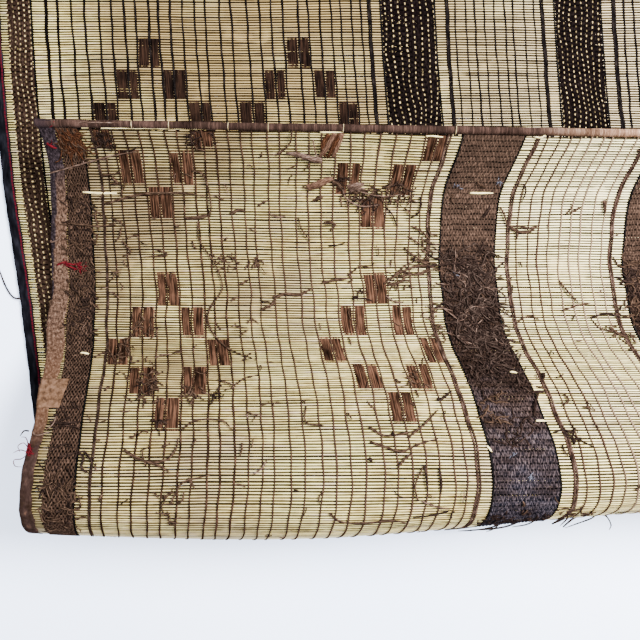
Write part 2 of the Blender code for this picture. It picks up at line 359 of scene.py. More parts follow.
def makeBand(name, near, far, dark, light, farLight, dotted):
    # Hide thongs packed side by side in tabby: rubbed light in patches, with painted highlights where they
    # rise in the narrow first band and painted shade, near black, where they dip under a reed. Its map counts
    # thongs across, with room for 40 in a band, each a millimetre wide in it.
    # Fibres are drawn half a thong wide and 6 mm long, coarse enough to show, and wear comes in patches of
    # 17 thongs by 17 mm.
    material, add, shader = newMaterial(name, 0.9, 0.0)
    plan, u, v = readPlan(add)
    column = add("Math", (u, mm), operation="DIVIDE")
    stretched = add("Mapping", {"Vector": plan, "Scale": (170, 30, 1)})
    wavy = add("TexNoise", {"Vector": stretched, "Scale": 1.0, "Detail": 2.0})
    row = add("Math", (reedRow(add, v), wavy), operation="ADD")
    up = add("Math", (add("Math", (column, math.pi), operation="MULTIPLY"),), operation="COSINE")
    onReed = add("Math", (add("Math", (row, math.pi), operation="MULTIPLY"),), operation="COSINE")
    rise = add("Math", (up, onReed), operation="MULTIPLY")
    stretched = add("Mapping", {"Vector": plan, "Scale": (1900, 160, 1)})
    fibres = add("TexNoise", {"Vector": stretched, "Scale": 1.0, "Detail": 3.0, "Roughness": 0.7})
    stretched = add("Mapping", {"Vector": plan, "Scale": (60, 60, 1)})
    worn = add("TexNoise", {"Vector": stretched, "Scale": 1.0, "Detail": 3.0, "Roughness": 0.6})
    # the bands to the right of the narrow first one are another hide, rubbed pale beside the roll, and
    # near black with painted shade under the tangles where their thongs have frayed
    laterBands = add("MapRange", (u, 0.02, 0.04))
    byFold = add("Math", (add("MapRange", (v, 0.2, 0.5, 0.0, 0.9)),
                          add("Math", (worn, 0.5), operation="SUBTRACT")), operation="ADD")
    changed = laterBands
    if not dotted:
        changed = add("Math", (laterBands, add("MapRange", (byFold, 0.2, 0.8))), operation="MULTIPLY")
    tangled = add("Math", (add("MapRange", (v, 0.17, 0.2)), add("MapRange", (v, 0.3, 0.34, 0.6, 0.0))),
                  operation="MULTIPLY")
    tangled = add("Math", (laterBands, 0.0 if dotted else tangled), operation="MULTIPLY")
    hide = add("Mix", {0: changed, 6: colour(near), 7: colour(far)}, 2, data_type="RGBA")
    faded = add("Math", (laterBands, add("MapRange", (v, 0.07, 0.17, 0.0 if dotted else 0.45, 0.0))),
                operation="MULTIPLY")
    hide = add("Mix", {0: faded, 6: hide, 7: colour("#2A201A")}, 2, data_type="RGBA")
    # painted shade under the tangles of frayed thongs
    hide = add("Mix", {0: tangled, 6: hide, 7: colour("#040202")}, 2, data_type="RGBA")
    rubbed = add("MapRange", (worn, 0.35, 0.6, 0.3, 1.0))
    rubbed = add("Math", (add("MapRange", (fibres, 0.46, 0.64)), rubbed), operation="MULTIPLY")
    rubbed = add("Math", (rubbed, add("Math", (1.0, tangled), operation="SUBTRACT")), operation="MULTIPLY")
    pale = add("Mix", {0: changed, 6: colour(light), 7: colour(farLight)}, 2, data_type="RGBA")
    hide = add("Mix", {0: rubbed, 6: hide, 7: pale}, 2, data_type="RGBA")
    # painted shade between thongs and where they dip
    between = add("Math", (add("MapRange", (onReed, 0.35, 0.8)), add("MapRange", (up, 0.75, 0.2))),
                  operation="MULTIPLY")
    under = add("Math", (add("MapRange", (rise, -0.1, -0.7)), 0.4), operation="MULTIPLY")
    deep = add("Math", (between, under), operation="MAXIMUM")
    amount = add("Math", (deep, add("MapRange", (worn, 0.35, 0.65, 1.0, 0.6))), operation="MULTIPLY")
    hide = add("Mix", {0: amount, 6: hide, 7: colour(dark)}, 2, data_type="RGBA")
    if not dotted:
        # the narrow first band is woven more openly, so its thongs stand out one by one, with painted
        # highlights where they rise and painted shade where they dip
        narrowOnly = add("Math", (1.0, laterBands), operation="SUBTRACT")
        raised = add("Math", (add("MapRange", (rise, 0.1, 0.8, 0.0, 0.5)), narrowOnly), operation="MULTIPLY")
        hide = add("Mix", {0: raised, 6: hide, 7: colour("#32241B")}, 2, data_type="RGBA")
        amount = add("Math", (add("MapRange", (rise, 0.0, -0.7, 0.0, 0.9)), narrowOnly), operation="MULTIPLY")
        hide = add("Mix", {0: amount, 6: hide, 7: colour(dark)}, 2, data_type="RGBA")
    if dotted:
        # pale reed that shows between the thongs, in slanted columns of dashes
        stretched = add("Mapping", {"Vector": plan, "Scale": (60, 13, 1)})
        slow = add("TexNoise", {"Vector": stretched, "Scale": 1.0, "Detail": 2.0})
        across = add("Math", (add("Math", (column, 0.5), operation="MULTIPLY"),
                              add("Math", (slow, 2.6), operation="MULTIPLY")), operation="ADD")
        dashes = add("Math", (across,), operation="FLOOR")
        step = add("Math", (add("Math", (row, 0.5), operation="MULTIPLY"),
                            add("Math", (dashes, 0.37), operation="MULTIPLY")), operation="ADD")
        wide = add("MapRange", (laterBands, 0.0, 1.0, 0.15, 0.105))
        slim = add("Math", (wide, 0.4), operation="MULTIPLY")
        narrow = add("MapRange", (offMiddle(add, across), slim, wide, 1.0, 0.0))
        short = add("MapRange", (offMiddle(add, step), 0.12, 0.24, 1.0, 0.0))
        spot = add("CombineXYZ", (dashes, add("Math", (step,), operation="FLOOR")))
        there = add("TexWhiteNoise", {"Vector": spot}, noise_dimensions="2D")
        short = add("Math", (short, add("MapRange", (there, 0.0, 0.7, 0.15, 1.0))), operation="MULTIPLY")
        onEdge = add("MapRange", (offMiddle(add, reedRow(add, v)), 0.36, 0.44, 1.0, 0.2))
        short = add("Math", (short, onEdge), operation="MULTIPLY")
        amount = add("Math", (narrow, short), operation="MULTIPLY")
        hide = add("Mix", {0: amount, 6: hide, 7: colour("#9A865E")}, 2, data_type="RGBA")
    relief = add("Math", (rise, add("Math", (fibres, 2.0), operation="MULTIPLY")), operation="ADD")
    finishSurface(add, shader, hide, relief, 0.0003)
    return material


def makeGrain(name, dark, middle, light, lengthwise=(620, 26, 1), patches=50.0):
    # Flat strip of worn hide: its fibres run along it, with cracks and rubbed ridges. They are drawn
    # 1.6 mm wide and 38 mm long, coarse enough to show, in patches of 20 mm.
    material, add, shader = newMaterial(name, 0.9, 0.0)
    plan = readPlan(add)[0]
    stretched = add("Mapping", {"Vector": plan, "Scale": lengthwise})
    fibre = add("TexNoise", {"Vector": stretched, "Scale": 1.0, "Detail": 3.0, "Roughness": 0.7})
    patch = add("TexNoise", {"Vector": plan, "Scale": patches, "Detail": 2.0})
    tone = add("Math", (add("Math", (fibre, 0.78), operation="MULTIPLY"),
                        add("Math", (patch, 0.22), operation="MULTIPLY")), operation="ADD")
    hide = add("ValToRGB", (tone,), stops=[(0.38, dark), (0.48, middle), (0.62, light)])
    finishSurface(add, shader, hide, fibre, 0.0006)
    return material


def makeBinding(name):
    # Strip of hide folded round the edge: black and smooth on the front with a line of wine red stitches,
    # worn grey outside and rubbed to brown suede inside on the back. Its front reads the map below zero.
    # The nap's mottle is 2.5 by 4 mm, the dull front's 6 by 20 mm, and greasy places are 8 by 14 mm.
    seam = {"in": 0.0122, "stitch": 0.0045}  # how far in the stitches run, and how long one is
    material, add, shader = newMaterial(name, 0.9, 0.0)
    plan, u, v = readPlan(add)
    stretched = add("Mapping", {"Vector": plan, "Scale": (160, 50, 1)})
    smoothed = add("TexNoise", {"Vector": stretched, "Scale": 1.0, "Detail": 3.0})
    front = add("ValToRGB", (smoothed,), stops=[(0.3, "#030304"), (0.5, "#08080B"), (0.75, "#16161B")])
    fromSeam = add("Math", (add("Math", (u, seam["in"]), operation="ADD"),), operation="ABSOLUTE")
    stitch = add("MapRange", (fromSeam, 0.0007, 0.0011, 1.0, 0.0))
    ends = offMiddle(add, add("Math", (v, seam["stitch"]), operation="DIVIDE"))
    stitch = add("Math", (stitch, add("MapRange", (ends, 0.36, 0.42, 1.0, 0.25))), operation="MULTIPLY")
    front = add("Mix", {0: stitch, 6: front, 7: colour("#30070F")}, 2, data_type="RGBA")
    stretched = add("Mapping", {"Vector": plan, "Scale": (400, 260, 1)})
    mottle = add("TexNoise", {"Vector": stretched, "Scale": 1.0, "Detail": 4.0, "Roughness": 0.7})
    grey = add("ValToRGB", (mottle,), stops=[(0.34, "#070506"), (0.5, "#171214"), (0.68, "#30282B")])
    suede = add("ValToRGB", (mottle,), stops=[(0.34, "#130C09"), (0.46, "#2C1F18"), (0.6, "#4C3A30"),
                                              (0.76, "#7E6552")])
    amount = add("MapRange", (v, 0.22, 0.32, 0.0, 0.4))
    suede = add("Mix", {0: amount, 6: suede, 7: colour("#4A3120")}, 2, data_type="RGBA")
    ragged = add("TexNoise", {"Vector": plan, "Scale": 45.0, "Detail": 3.0})
    ragged = add("Math", (add("Math", (ragged, 0.5), operation="SUBTRACT"), 0.012), operation="MULTIPLY")
    border = add("Math", (u, ragged), operation="ADD")
    border = add("Math", (border, add("MapRange", (v, 0.05, 0.24, -0.001, 0.0085))), operation="ADD")
    inner = add("Math", (add("MapRange", (border, 0.0075, 0.0095)), add("MapRange", (v, 0.045, 0.085))),
                operation="MULTIPLY")
    back = add("Mix", {0: inner, 6: grey, 7: suede}, 2, data_type="RGBA")
    broad = add("TexNoise", {"Vector": plan, "Scale": 20.0, "Detail": 3.0})
    old = add("Math", (v, add("Math", (broad, 0.06), operation="MULTIPLY")), operation="ADD")
    old = add("MapRange", (old, 0.37, 0.42, 0.0, 0.85))
    stretched = add("Mapping", {"Vector": plan, "Scale": (120, 70, 1)})
    greasy = add("TexNoise", {"Vector": stretched, "Scale": 1.0, "Detail": 4.0, "Roughness": 0.6})
    greasy = add("ValToRGB", (greasy,), stops=[(0.36, "#070505"), (0.5, "#140E0F"), (0.6, "#211817"),
                                               (0.72, "#4E3629")])
    back = add("Mix", {0: old, 6: back, 7: greasy}, 2, data_type="RGBA")
    hide = add("Mix", {0: add("MapRange", (u, -0.0001, 0.0001)), 6: front, 7: back}, 2, data_type="RGBA")
    finishSurface(add, shader, hide, mottle, 0.0005)
    return material


def makeWhipping():
    # End roll bound with a narrow goat thong, turn by turn: brown, with a dark line of painted shade between
    # turns, fibres of 1.4 by 5 mm, coarse enough to show, and patches of 36 mm
    material, add, shader = newMaterial("brownWhippingHide", 0.85, 0.02)
    plan, u, _ = readPlan(add)
    thongWidth = 0.0017
    uneven = add("TexNoise", {"Vector": plan, "Scale": 60.0, "Detail": 2.0})
    turn = add("Math", (add("Math", (u, thongWidth), operation="DIVIDE"),
                        add("Math", (uneven, 0.8), operation="MULTIPLY")), operation="ADD")
    each = add("TexWhiteNoise", {"W": add("Math", (turn,), operation="FLOOR")}, noise_dimensions="1D")
    stretched = add("Mapping", {"Vector": plan, "Scale": (28, 28, 1)})
    patch = add("TexNoise", {"Vector": stretched, "Scale": 1.0, "Detail": 2.0})
    stretched = add("Mapping", {"Vector": plan, "Scale": (700, 200, 1)})
    fibres = add("TexNoise", {"Vector": stretched, "Scale": 1.0, "Detail": 3.0, "Roughness": 0.6})
    tone = add("Math", (add("Math", (each, 0.15), operation="MULTIPLY"),
                        add("Math", (patch, 0.55), operation="MULTIPLY")), operation="ADD")
    tone = add("Math", (tone, add("Math", (fibres, 0.35), operation="MULTIPLY")), operation="ADD")
    hide = add("ValToRGB", (tone,), stops=[(0.34, "#0C0604"), (0.52, "#221713"), (0.68, "#3A2A24"),
                                           (0.86, "#5E4A42")])
    pale = add("ValToRGB", (tone,), stops=[(0.3, "#3A2418"), (0.52, "#83634E"), (0.8, "#BA9F8A")])
    hide = add("Mix", {0: add("MapRange", (u, 0.54, 0.68, 0.0, 0.9)), 6: hide, 7: pale}, 2, data_type="RGBA")
    amount = add("MapRange", (u, 0.012, 0.024, 0.85, 0.0))
    hide = add("Mix", {0: amount, 6: hide, 7: colour("#1E1618")}, 2, data_type="RGBA")
    # painted shade in the crease between turns
    amount = add("MapRange", (offMiddle(add, turn), 0.3, 0.5, 0.0, 0.75))
    hide = add("Mix", {0: amount, 6: hide, 7: colour("#100806")}, 2, data_type="RGBA")
    relief = add("TexNoise", {"Vector": plan, "Scale": 700.0, "Detail": 3.0})
    finishSurface(add, shader, hide, relief, 0.0004)
    return material


def makeLoose(name, dark, middle, light, roughness=0.85):
    # Loose end of hide, reed or wool: dull, with streaks along it, 6 mm long and 0.8 mm wide
    material, add, shader = newMaterial(name, roughness, 0.0)
    plan = readPlan(add)[0]
    stretched = add("Mapping", {"Vector": plan, "Scale": (160, 1300, 1)})
    streak = add("TexNoise", {"Vector": stretched, "Scale": 1.0, "Detail": 3.0, "Roughness": 0.6})
    skin = add("ValToRGB", (streak,), stops=[(0.32, dark), (0.5, middle), (0.68, light)])
    finishSurface(add, shader, skin, streak, 0.0004)
    return material


reedSkin = makeReed()
backThong = makeThong("brownGoatThong", "#0A0504", "#1B110B", "#38271E", 0.2, 0.6)
backRibbon = makeThong("brownFlatThong", "#0C0806", "#261A15", "#4E3D35", 0.3)
edgeThong = makeThong("blackEdgeThong", "#030303", "#070606", "#141212", 0.3)
frontThong = makeThong("blackGoatThong", "#030202", "#090707", "#1A1513", 0.4)
backBandHide = makeBand("brownPackedThong", "#150E0B", "#08090F", "#010101", "#4C3A30", "#443C40", False)
frontBandHide = makeBand("blackPackedThong", "#150D09", "#050303", "#010101", "#2E221C", "#120D0C", True)
backBlockHide = makeGrain("tanHideStrip", "#060302", "#1C110B", "#473024")
frontBlockHide = makeGrain("blackHideStrip", "#030202", "#0E0806", "#221610")
bindingHide = makeBinding("foldedBindingHide")
whippedHide = makeWhipping()
paleHide = makeGrain("paleSuedePatch", "#2C1E15", "#402E21", "#564032", (170, 140, 1))  # mottled, 6 by 7 mm
looseBrown = makeLoose("looseBrownHide", "#0C0705", "#221812", "#4A392E")
looseUmber = makeLoose("looseUmberHide", "#090605", "#1D1512", "#3D322C")
looseDark = makeLoose("looseBlackHide", "#050303", "#120C0A", "#30241F")
loosePale = makeLoose("loosePaleHide", "#170F0C", "#362821", "#65534A")
looseTan = makeLoose("looseTanHide", "#180F0B", "#39281F", "#644B3D")
looseRusty = makeLoose("looseRustyHide", "#090402", "#22120B", "#4C301F")
reedSliver = makeLoose("splitReedSliver", "#8A7442", "#D0BE84", "#E8DCB0", 0.5)
redWool = makeLoose("redWoolTuft", "#160305", "#3A0A10", "#661A20", 0.9)
creamThread = makeLoose("creamCottonThread", "#443924", "#7E6E50", "#A8997A", 0.8)
greyLint = makeLoose("greyLint", "#24242B", "#3E3E47", "#60616B", 0.9)
print("materials made")

# Reeds
rng = np.random.default_rng(7)
reed = {"radius": 0.00152, "sides": 6, "lengths": 20, "inset": 0.002, "thinnest": 0.97, "thickest": 1.02,
        "drift": 0.00014, "lift": 0.0001, "bow": 0.0007}


def layReeds():
    bm = bmesh.new()
    long = mat["width"] - 2 * reed["inset"]
    bmesh.ops.create_cone(bm, cap_ends=True, segments=reed["sides"], radius1=reed["radius"],
                          radius2=reed["radius"], depth=long)
    bmesh.ops.rotate(bm, verts=bm.verts, cent=(0, 0, 0), matrix=Matrix.Rotation(math.pi / 2, 3, "Y"))
    bmesh.ops.rotate(bm, verts=bm.verts, cent=(0, 0, 0), matrix=Matrix.Rotation(math.pi / 2, 3, "X"))
    lengthwise = [e for e in bm.edges if abs(e.verts[0].co.x - e.verts[1].co.x) > 0.1]
    bmesh.ops.subdivide_edges(bm, edges=lengthwise, cuts=reed["lengths"] - 1)
    bmesh.ops.translate(bm, verts=bm.verts, vec=(mat["width"] / 2, pitch / 2, 0))
    repeatAlong(bm, mat["reeds"], 1, pitch)
    piece = newPiece("reeds", bm, reedSkin)
    plan = pointsOf(piece) + (0, mat["start"], 0)
    flat = plan.copy()
    which = np.clip(((flat[:, 1] - mat["start"]) / pitch).astype(int), 0, mat["reeds"] - 1)
    station = np.round((flat[:, 0] - reed["inset"]) / long * reed["lengths"]).astype(int)
    middle = mat["start"] + pitch * (which + 0.5)
    girth = rng.uniform(reed["thinnest"], reed["thickest"], mat["reeds"])[which]
    shape = (mat["reeds"], reed["lengths"] + 1)
    drift = rng.normal(0, reed["drift"], shape)
    lift = np.clip(rng.normal(0, reed["lift"], shape), -2 * reed["lift"], 2 * reed["lift"])
    bow = np.sin(2 * math.pi * (flat[:, 0] / 0.43 + middle / 0.37))
    bow = bow + 0.6 * np.sin(2 * math.pi * (flat[:, 0] / 0.21 - middle / 0.29 + 0.3))
    flat[:, 1] = middle + (flat[:, 1] - middle) * girth + drift[which, station] + reed["bow"] * bow
    flat[:, 2] = flat[:, 2] * girth + lift[which, station]
    layOnMat(piece, flat, plan)
    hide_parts("woven_mat")
    return piece


reeds = layReeds()
print("reeds laid", len(reeds.data.polygons))

# Strings
string = {"width": 0.0017, "proud": 0.0019, "sunk": 0.0008, "onFold": 0.0003, "sway": 0.001, "fine": 0.006,
          "coarse": 0.014, "bent": 0.62, "clear": 0.004, "edge": 0.0026, "edgeIn": 0.0008, "ribbon": 0.0025,
          "firstRibbon": 0.0016}
stations = np.concatenate([np.arange(string["clear"], string["bent"], string["fine"]),
                           np.arange(string["bent"], matLength - string["clear"], string["coarse"]),
                           [matLength - string["clear"]]])
# On the long layer the strings stand wider apart on the left, in mm at so many spacings from the edge,
# and the end of the folded layer has slipped left there, and right further on
drawnWide = {"at": (3.75, 4.75, 7.75, 9.75, 15.75, 19.75, 21.75, 27.75, 29.75, 32.75, 37.5, 48.2, 52.9, 60,
                    75),
             "by": (0, 2.5, 7.7, 10.2, 10.6, 13, 15, 13.5, 10.6, 8.2, 8.2, -1, -9, -6, 0),
             "start": 0.62, "over": 0.33, "clear": 0.05, "fade": 0.5}
slippedLeft = {"at": (3.75, 5.2, 6.2, 18, 26, 30), "by": (0, -1, -6.5, -6.5, -5, 0), "start": 0.03,
               "reach": 0.17}
slippedRight = {"at": (26, 32.75, 37.5, 40, 48, 53, 60), "by": (0, 11, 13.5, 13.5, 8, 8, 0), "start": 0,
                "reach": 0.078}
backUp = {"to": 0.56, "over": 0.08}  # the folded end, whose back faces up


def smooth(share):
    return share * share * (3 - 2 * share)


def widen(across, along):
    # Where a string that starts at across has got to, so far along
    by = np.interp(across / mat["spacing"], drawnWide["at"], drawnWide["by"]) * mm
    share = np.clip((along - drawnWide["start"]) / drawnWide["over"], 0, 1)
    share = share * np.clip((matLength - drawnWide["clear"] - along) / drawnWide["fade"], 0, 1)
    for slip in (slippedLeft, slippedRight):
        moved = np.interp(across / mat["spacing"], slip["at"], slip["by"]) * mm
        across = across + moved * smooth(np.clip(1 - (along - slip["start"]) / slip["reach"], 0, 1))
    return across + by * smooth(share)


def onFold(along):
    # 1 where the back faces up and 0 where it lies on the floor
    return smooth(np.clip((backUp["to"] - along) / backUp["over"], 0, 1))


def stringPlaces():
    # Place across the mat, width, kind, field and number of each string
    places = []
    for number, field in enumerate(fields):
        gaps = np.array(field["gaps"], float)
        steps = np.concatenate([[0], np.cumsum(gaps / gaps.sum())])
        for k, share in enumerate(steps):
            across = (field["from"] + share * (field["to"] - field["from"])) * mat["spacing"]
            if k in field["doubles"]:
                wide = string["firstRibbon"] if (number, k) == (0, 1) else string["ribbon"]
                places.append((across - wide * 0.52, wide, "ribbon", number, k))
                places.append((across + wide * 0.52, wide, "ribbon", number, k))
            elif k in (0, len(steps) - 1):
                inwards = string["edgeIn"] if k else -string["edgeIn"]
                places.append((across + inwards, string["edge"], "edge", number, k))
            else:
                thin = (0.85 if k > 4 else 0.95) if number == 1 else 1.14 if number == 0 and k < 12 else 1.03
                places.append((across, string["width"] * thin * rng.uniform(0.85, 1.2), "single", number, k))
    return places


strings = stringPlaces()
swayOf = {}
for number, field in enumerate(fields):
    curves = wander(rng, len(field["gaps"]) + 1, stations, string["sway"], 0.045)
    for k, curve in enumerate(curves):
        swayOf[number, k] = curve * (0.35 if k in (0, len(field["gaps"])) else 1)


def layStrings(name, kind, material, side, thicker):
    chosen = [s for s in strings if s[2] == kind]
    bm = bmesh.new()
    bmesh.ops.create_cube(bm, size=1)
    top = [v for v in bm.verts if v.co.z > 0]
    bmesh.ops.scale(bm, verts=top, vec=(0.75, 1, 1))
    lengthwise = [e for e in bm.edges if abs(e.verts[0].co.y - e.verts[1].co.y) > 0.5]
    bmesh.ops.subdivide_edges(bm, edges=lengthwise, cuts=len(stations) - 2)
    bmesh.ops.translate(bm, verts=bm.verts, vec=(0.5, 0.5, 0.5))
    repeatAlong(bm, len(chosen), 0, 2)
    if side < 0:
        bmesh.ops.reverse_faces(bm, faces=bm.faces)
    piece = newPiece(name, bm, material)
    unit = pointsOf(piece)
    which = (unit[:, 0] / 2).astype(int)
    station = np.round(unit[:, 1] * (len(stations) - 1)).astype(int)
    place = np.array([s[0] for s in chosen])[which]
    width = np.array([s[1] for s in chosen])[which] * thicker
    width *= (1 + wander(rng, len(chosen), stations, 0.22, 0.02))[which, station]
    sway = np.array([swayOf[s[3], s[4]] for s in chosen])[which, station]
    proud = string["sunk"] + unit[:, 2] * (string["proud"] - string["sunk"])
    proud = proud + unit[:, 2] * string["onFold"] * (side < 0) * onFold(stations[station])
    across = place + sway + (unit[:, 0] - 2 * which - 0.5) * width
    flat = np.stack([widen(across, stations[station]), stations[station], side * proud], axis=1)
    layOnMat(piece, flat)
    return piece


stringPieces = [
    layStrings("backStrings", "single", backThong, -1, 1.0),
    layStrings("backRibbons", "ribbon", backRibbon, -1, 1.0),
    layStrings("backEdgeThongs", "edge", edgeThong, -1, 0.9),
    layStrings("frontStrings", "single", frontThong, 1, 1.45),
    layStrings("frontRibbons", "ribbon", frontThong, 1, 1.25),
    layStrings("frontEdgeThongs", "edge", edgeThong, 1, 1.0),
]
print("strings laid", sum(len(p.data.polygons) for p in stringPieces))

# Bands of packed thongs
weave = {"high": 0.00198, "low": 0.00164, "edge": 0.0010, "onFold": 0.0004, "drift": 0.0005, "tucked": 0.0018,
         "room": 40}  # room is the columns that the map keeps for a band


def layBands(name, material, side, finer):
    bm = bmesh.new()
    for number, band in enumerate(bands):
        made = bmesh.ops.create_grid(bm, x_segments=band["thongs"] * finer, y_segments=mat["reeds"],
                                     size=0.5)["verts"]
        bmesh.ops.translate(bm, verts=made, vec=(0.5 + 2 * number, 0.5, 0))
    if side < 0:
        bmesh.ops.reverse_faces(bm, faces=bm.faces)
    piece = newPiece(name, bm, material)
    unit = pointsOf(piece)
    which = (unit[:, 0] / 2).astype(int)
    thongs = np.array([b["thongs"] for b in bands])[which] * finer
    first = np.array([b["from"] for b in bands])[which] * mat["spacing"]
    last = np.array([b["to"] for b in bands])[which] * mat["spacing"]
    column = np.round((unit[:, 0] - 2 * which) * thongs).astype(int)
    row = np.round(unit[:, 1] * mat["reeds"]).astype(int)
    plan = np.stack([first + (last - first) * column / thongs, mat["start"] + pitch * row], axis=1)
    places = np.arange(mat["reeds"] + 1) * pitch
    drift = wander(rng, weave["room"] * len(bands), places, weave["drift"], 0.03)
    drift = drift[weave["room"] * which + column, row]
    border = (column == 0) | (column == thongs)
    over = (column + row) % 2 == 0
    proud = np.where(over, weave["high"], weave["low"]) * rng.uniform(0.95, 1.0, len(unit))
    proud = proud + weave["onFold"] * over * (side < 0) * onFold(plan[:, 1])
    proud = np.where(border, weave["edge"], proud)
    flat = np.stack([widen(plan[:, 0] + np.where(border, 0, drift), plan[:, 1]), plan[:, 1], side * proud],
                    axis=1)
    flat[:, 1] += weave["tucked"] * ((row == mat["reeds"]).astype(int) - (row == 0))  # into the end rolls
    plan[:, 0] = (weave["room"] * which + column) * mm
    layOnMat(piece, flat, plan)
    return piece


backBands = layBands("backBands", backBandHide, -1, 2)
frontBands = layBands("frontBands", frontBandHide, 1, 1)
print("bands laid", len(backBands.data.polygons))

# Stepped diamonds of flat strips
diamond = {"stripWidth": 0.0138, "stripLength": 0.98, "apart": -0.0003, "secondLower": 0.011,
           "secondHigher": -0.0036, "secondStep": 0.0383, "cells": 8, "proud": 0.00155, "ridge": 0.00038,
           "edge": 0.0011, "onFold": 0.0002, "lean": 0.0005, "ragged": 0.0004}
diamondAt = [0.011, 0.266, 0.517, 0.768, 1.019, 1.27, 1.521, 1.771]  # middle of each figure along the strings
diamondStep = [0.038, 0.0401, 0.039, 0.038, 0.038, 0.038, 0.038, 0.038]  # length of its blocks
diamondRows = {-2: (0,), -1: (-2, 2), 0: (-4, 4), 1: (-2, 2), 2: (0,)}  # middles of a row's blocks
evenCentres = (6, 23)
shiftedCentres = (9, 21)  # where the weaver set the figures closer together


def stripPlaces():
    # Field, string at its left, place along, length, and which side of its block it is on
    places = []
    lastGap = len(wideGaps) - 1
    for number in (0, 2):
        for k, middle in enumerate(diamondAt):
            for centre in (shiftedCentres if k in (3, 4) else evenCentres):
                second = centre > 20
                lower = {0: diamond["secondLower"], 1: diamond["secondHigher"]}.get(k, 0) * second
                step = diamond["secondStep"] if k == 1 and second else diamondStep[k]
                for row, blocks in diamondRows.items():
                    along = middle + row * step + lower
                    for block in blocks:
                        for gap in (-1, 0):
                            left = centre + block + gap
                            places.append((number, left if number == 0 else lastGap - left, along,
                                           step * diamond["stripLength"], gap if number == 0 else -1 - gap))
    return [p for p in places if p[2] > -0.01 and p[2] < matLength - 0.02]


def layStrips(name, material, side, wider):
    places = stripPlaces()
    if side < 0:
        # torn off beside the roll, and worn through where the mat bends most
        places = [p for p in places if not (p[0] == 0 and p[1] in (18, 19) and p[2] < 0.03)]
        places = [p for p in places if not (p[0] == 0 and 0.42 < p[2] < 0.5)]
    bm = bmesh.new()
    cells = diamond["cells"]
    bmesh.ops.create_grid(bm, x_segments=cells, y_segments=cells, size=0.5)
    bmesh.ops.translate(bm, verts=bm.verts, vec=(0.5, 0.5, 0))
    repeatAlong(bm, len(places), 0, 2)
    if side < 0:
        bmesh.ops.reverse_faces(bm, faces=bm.faces)
    piece = newPiece(name, bm, material)
    unit = pointsOf(piece)
    which = (unit[:, 0] / 2).astype(int)
    x = unit[:, 0] - 2 * which
    y = unit[:, 1]
    column = np.round(x * cells).astype(int)
    row = np.round(y * cells).astype(int)
    count = len(places)
    middle = np.zeros(count)
    space = np.zeros(count)
    for i, (number, left, along, _, gap) in enumerate(places):
        near = [np.mean([s[0] for s in strings if s[3] == number and s[4] == k]) +
                np.interp(along, stations, swayOf[number, k]) for k in (left, left + 1)]
        outwards = diamond["apart"] * (-1 if gap < 0 else 1)
        middle[i] = (near[0] + near[1]) / 2 + outwards
        space[i] = near[1] - near[0]
    along = np.array([p[2] for p in places])
    width = np.minimum(diamond["stripWidth"], space - 0.0016) * wider * rng.uniform(0.93, 1.03, count)
    length = np.array([p[3] for p in places]) * rng.uniform(0.98, 1.03, count)
    lean = rng.normal(0, diamond["lean"], count)
    ridges = rng.uniform(0, 1, (count, cells + 1))
    waves = rng.uniform(0, 1, (count, cells + 1))
    edge = (column == 0) | (column == cells) | (row == 0) | (row == cells)
    proud = diamond["proud"] + diamond["ridge"] * ridges[which, column] * (0.6 + 0.4 * waves[which, row])
    proud = np.where(edge, diamond["edge"], proud + diamond["onFold"] * (side < 0) * onFold(along[which]))
    ragged = rng.normal(0, diamond["ragged"], len(unit)) * edge
    across = middle[which] + (x - 0.5) * width[which] + lean[which] * (y - 0.5) * 2 + ragged
    down = np.clip(along[which] + (y - 0.5) * length[which], mat["start"], matLength - mat["start"])
    flat = np.stack([widen(across, down), down, side * proud], axis=1)
    plan = np.stack([across + 0.37 * which, down + 0.11 * which], axis=1)
    layOnMat(piece, flat, plan)
    return piece


backStrips = layStrips("backStrips", backBlockHide, -1, 1.0)
frontStrips = layStrips("frontStrips", frontBlockHide, 1, 1.06)
print("diamonds laid", len(backStrips.data.polygons))

# Bindings folded round the two long edges
binding = {"step": 0.006, "reach": 0.0148, "front": 0.0145, "ragged": 0.001, "raggedEvery": 0.022}
bindingBack = {"along": (0, 0.02, 0.24, 0.30, 0.345, 0.42, 0.55, 2),  # how far in its back edge lies, in mm
               "in": (21, 20.4, 20.4, 17, 13.5, 12.5, 14.5, 15)}


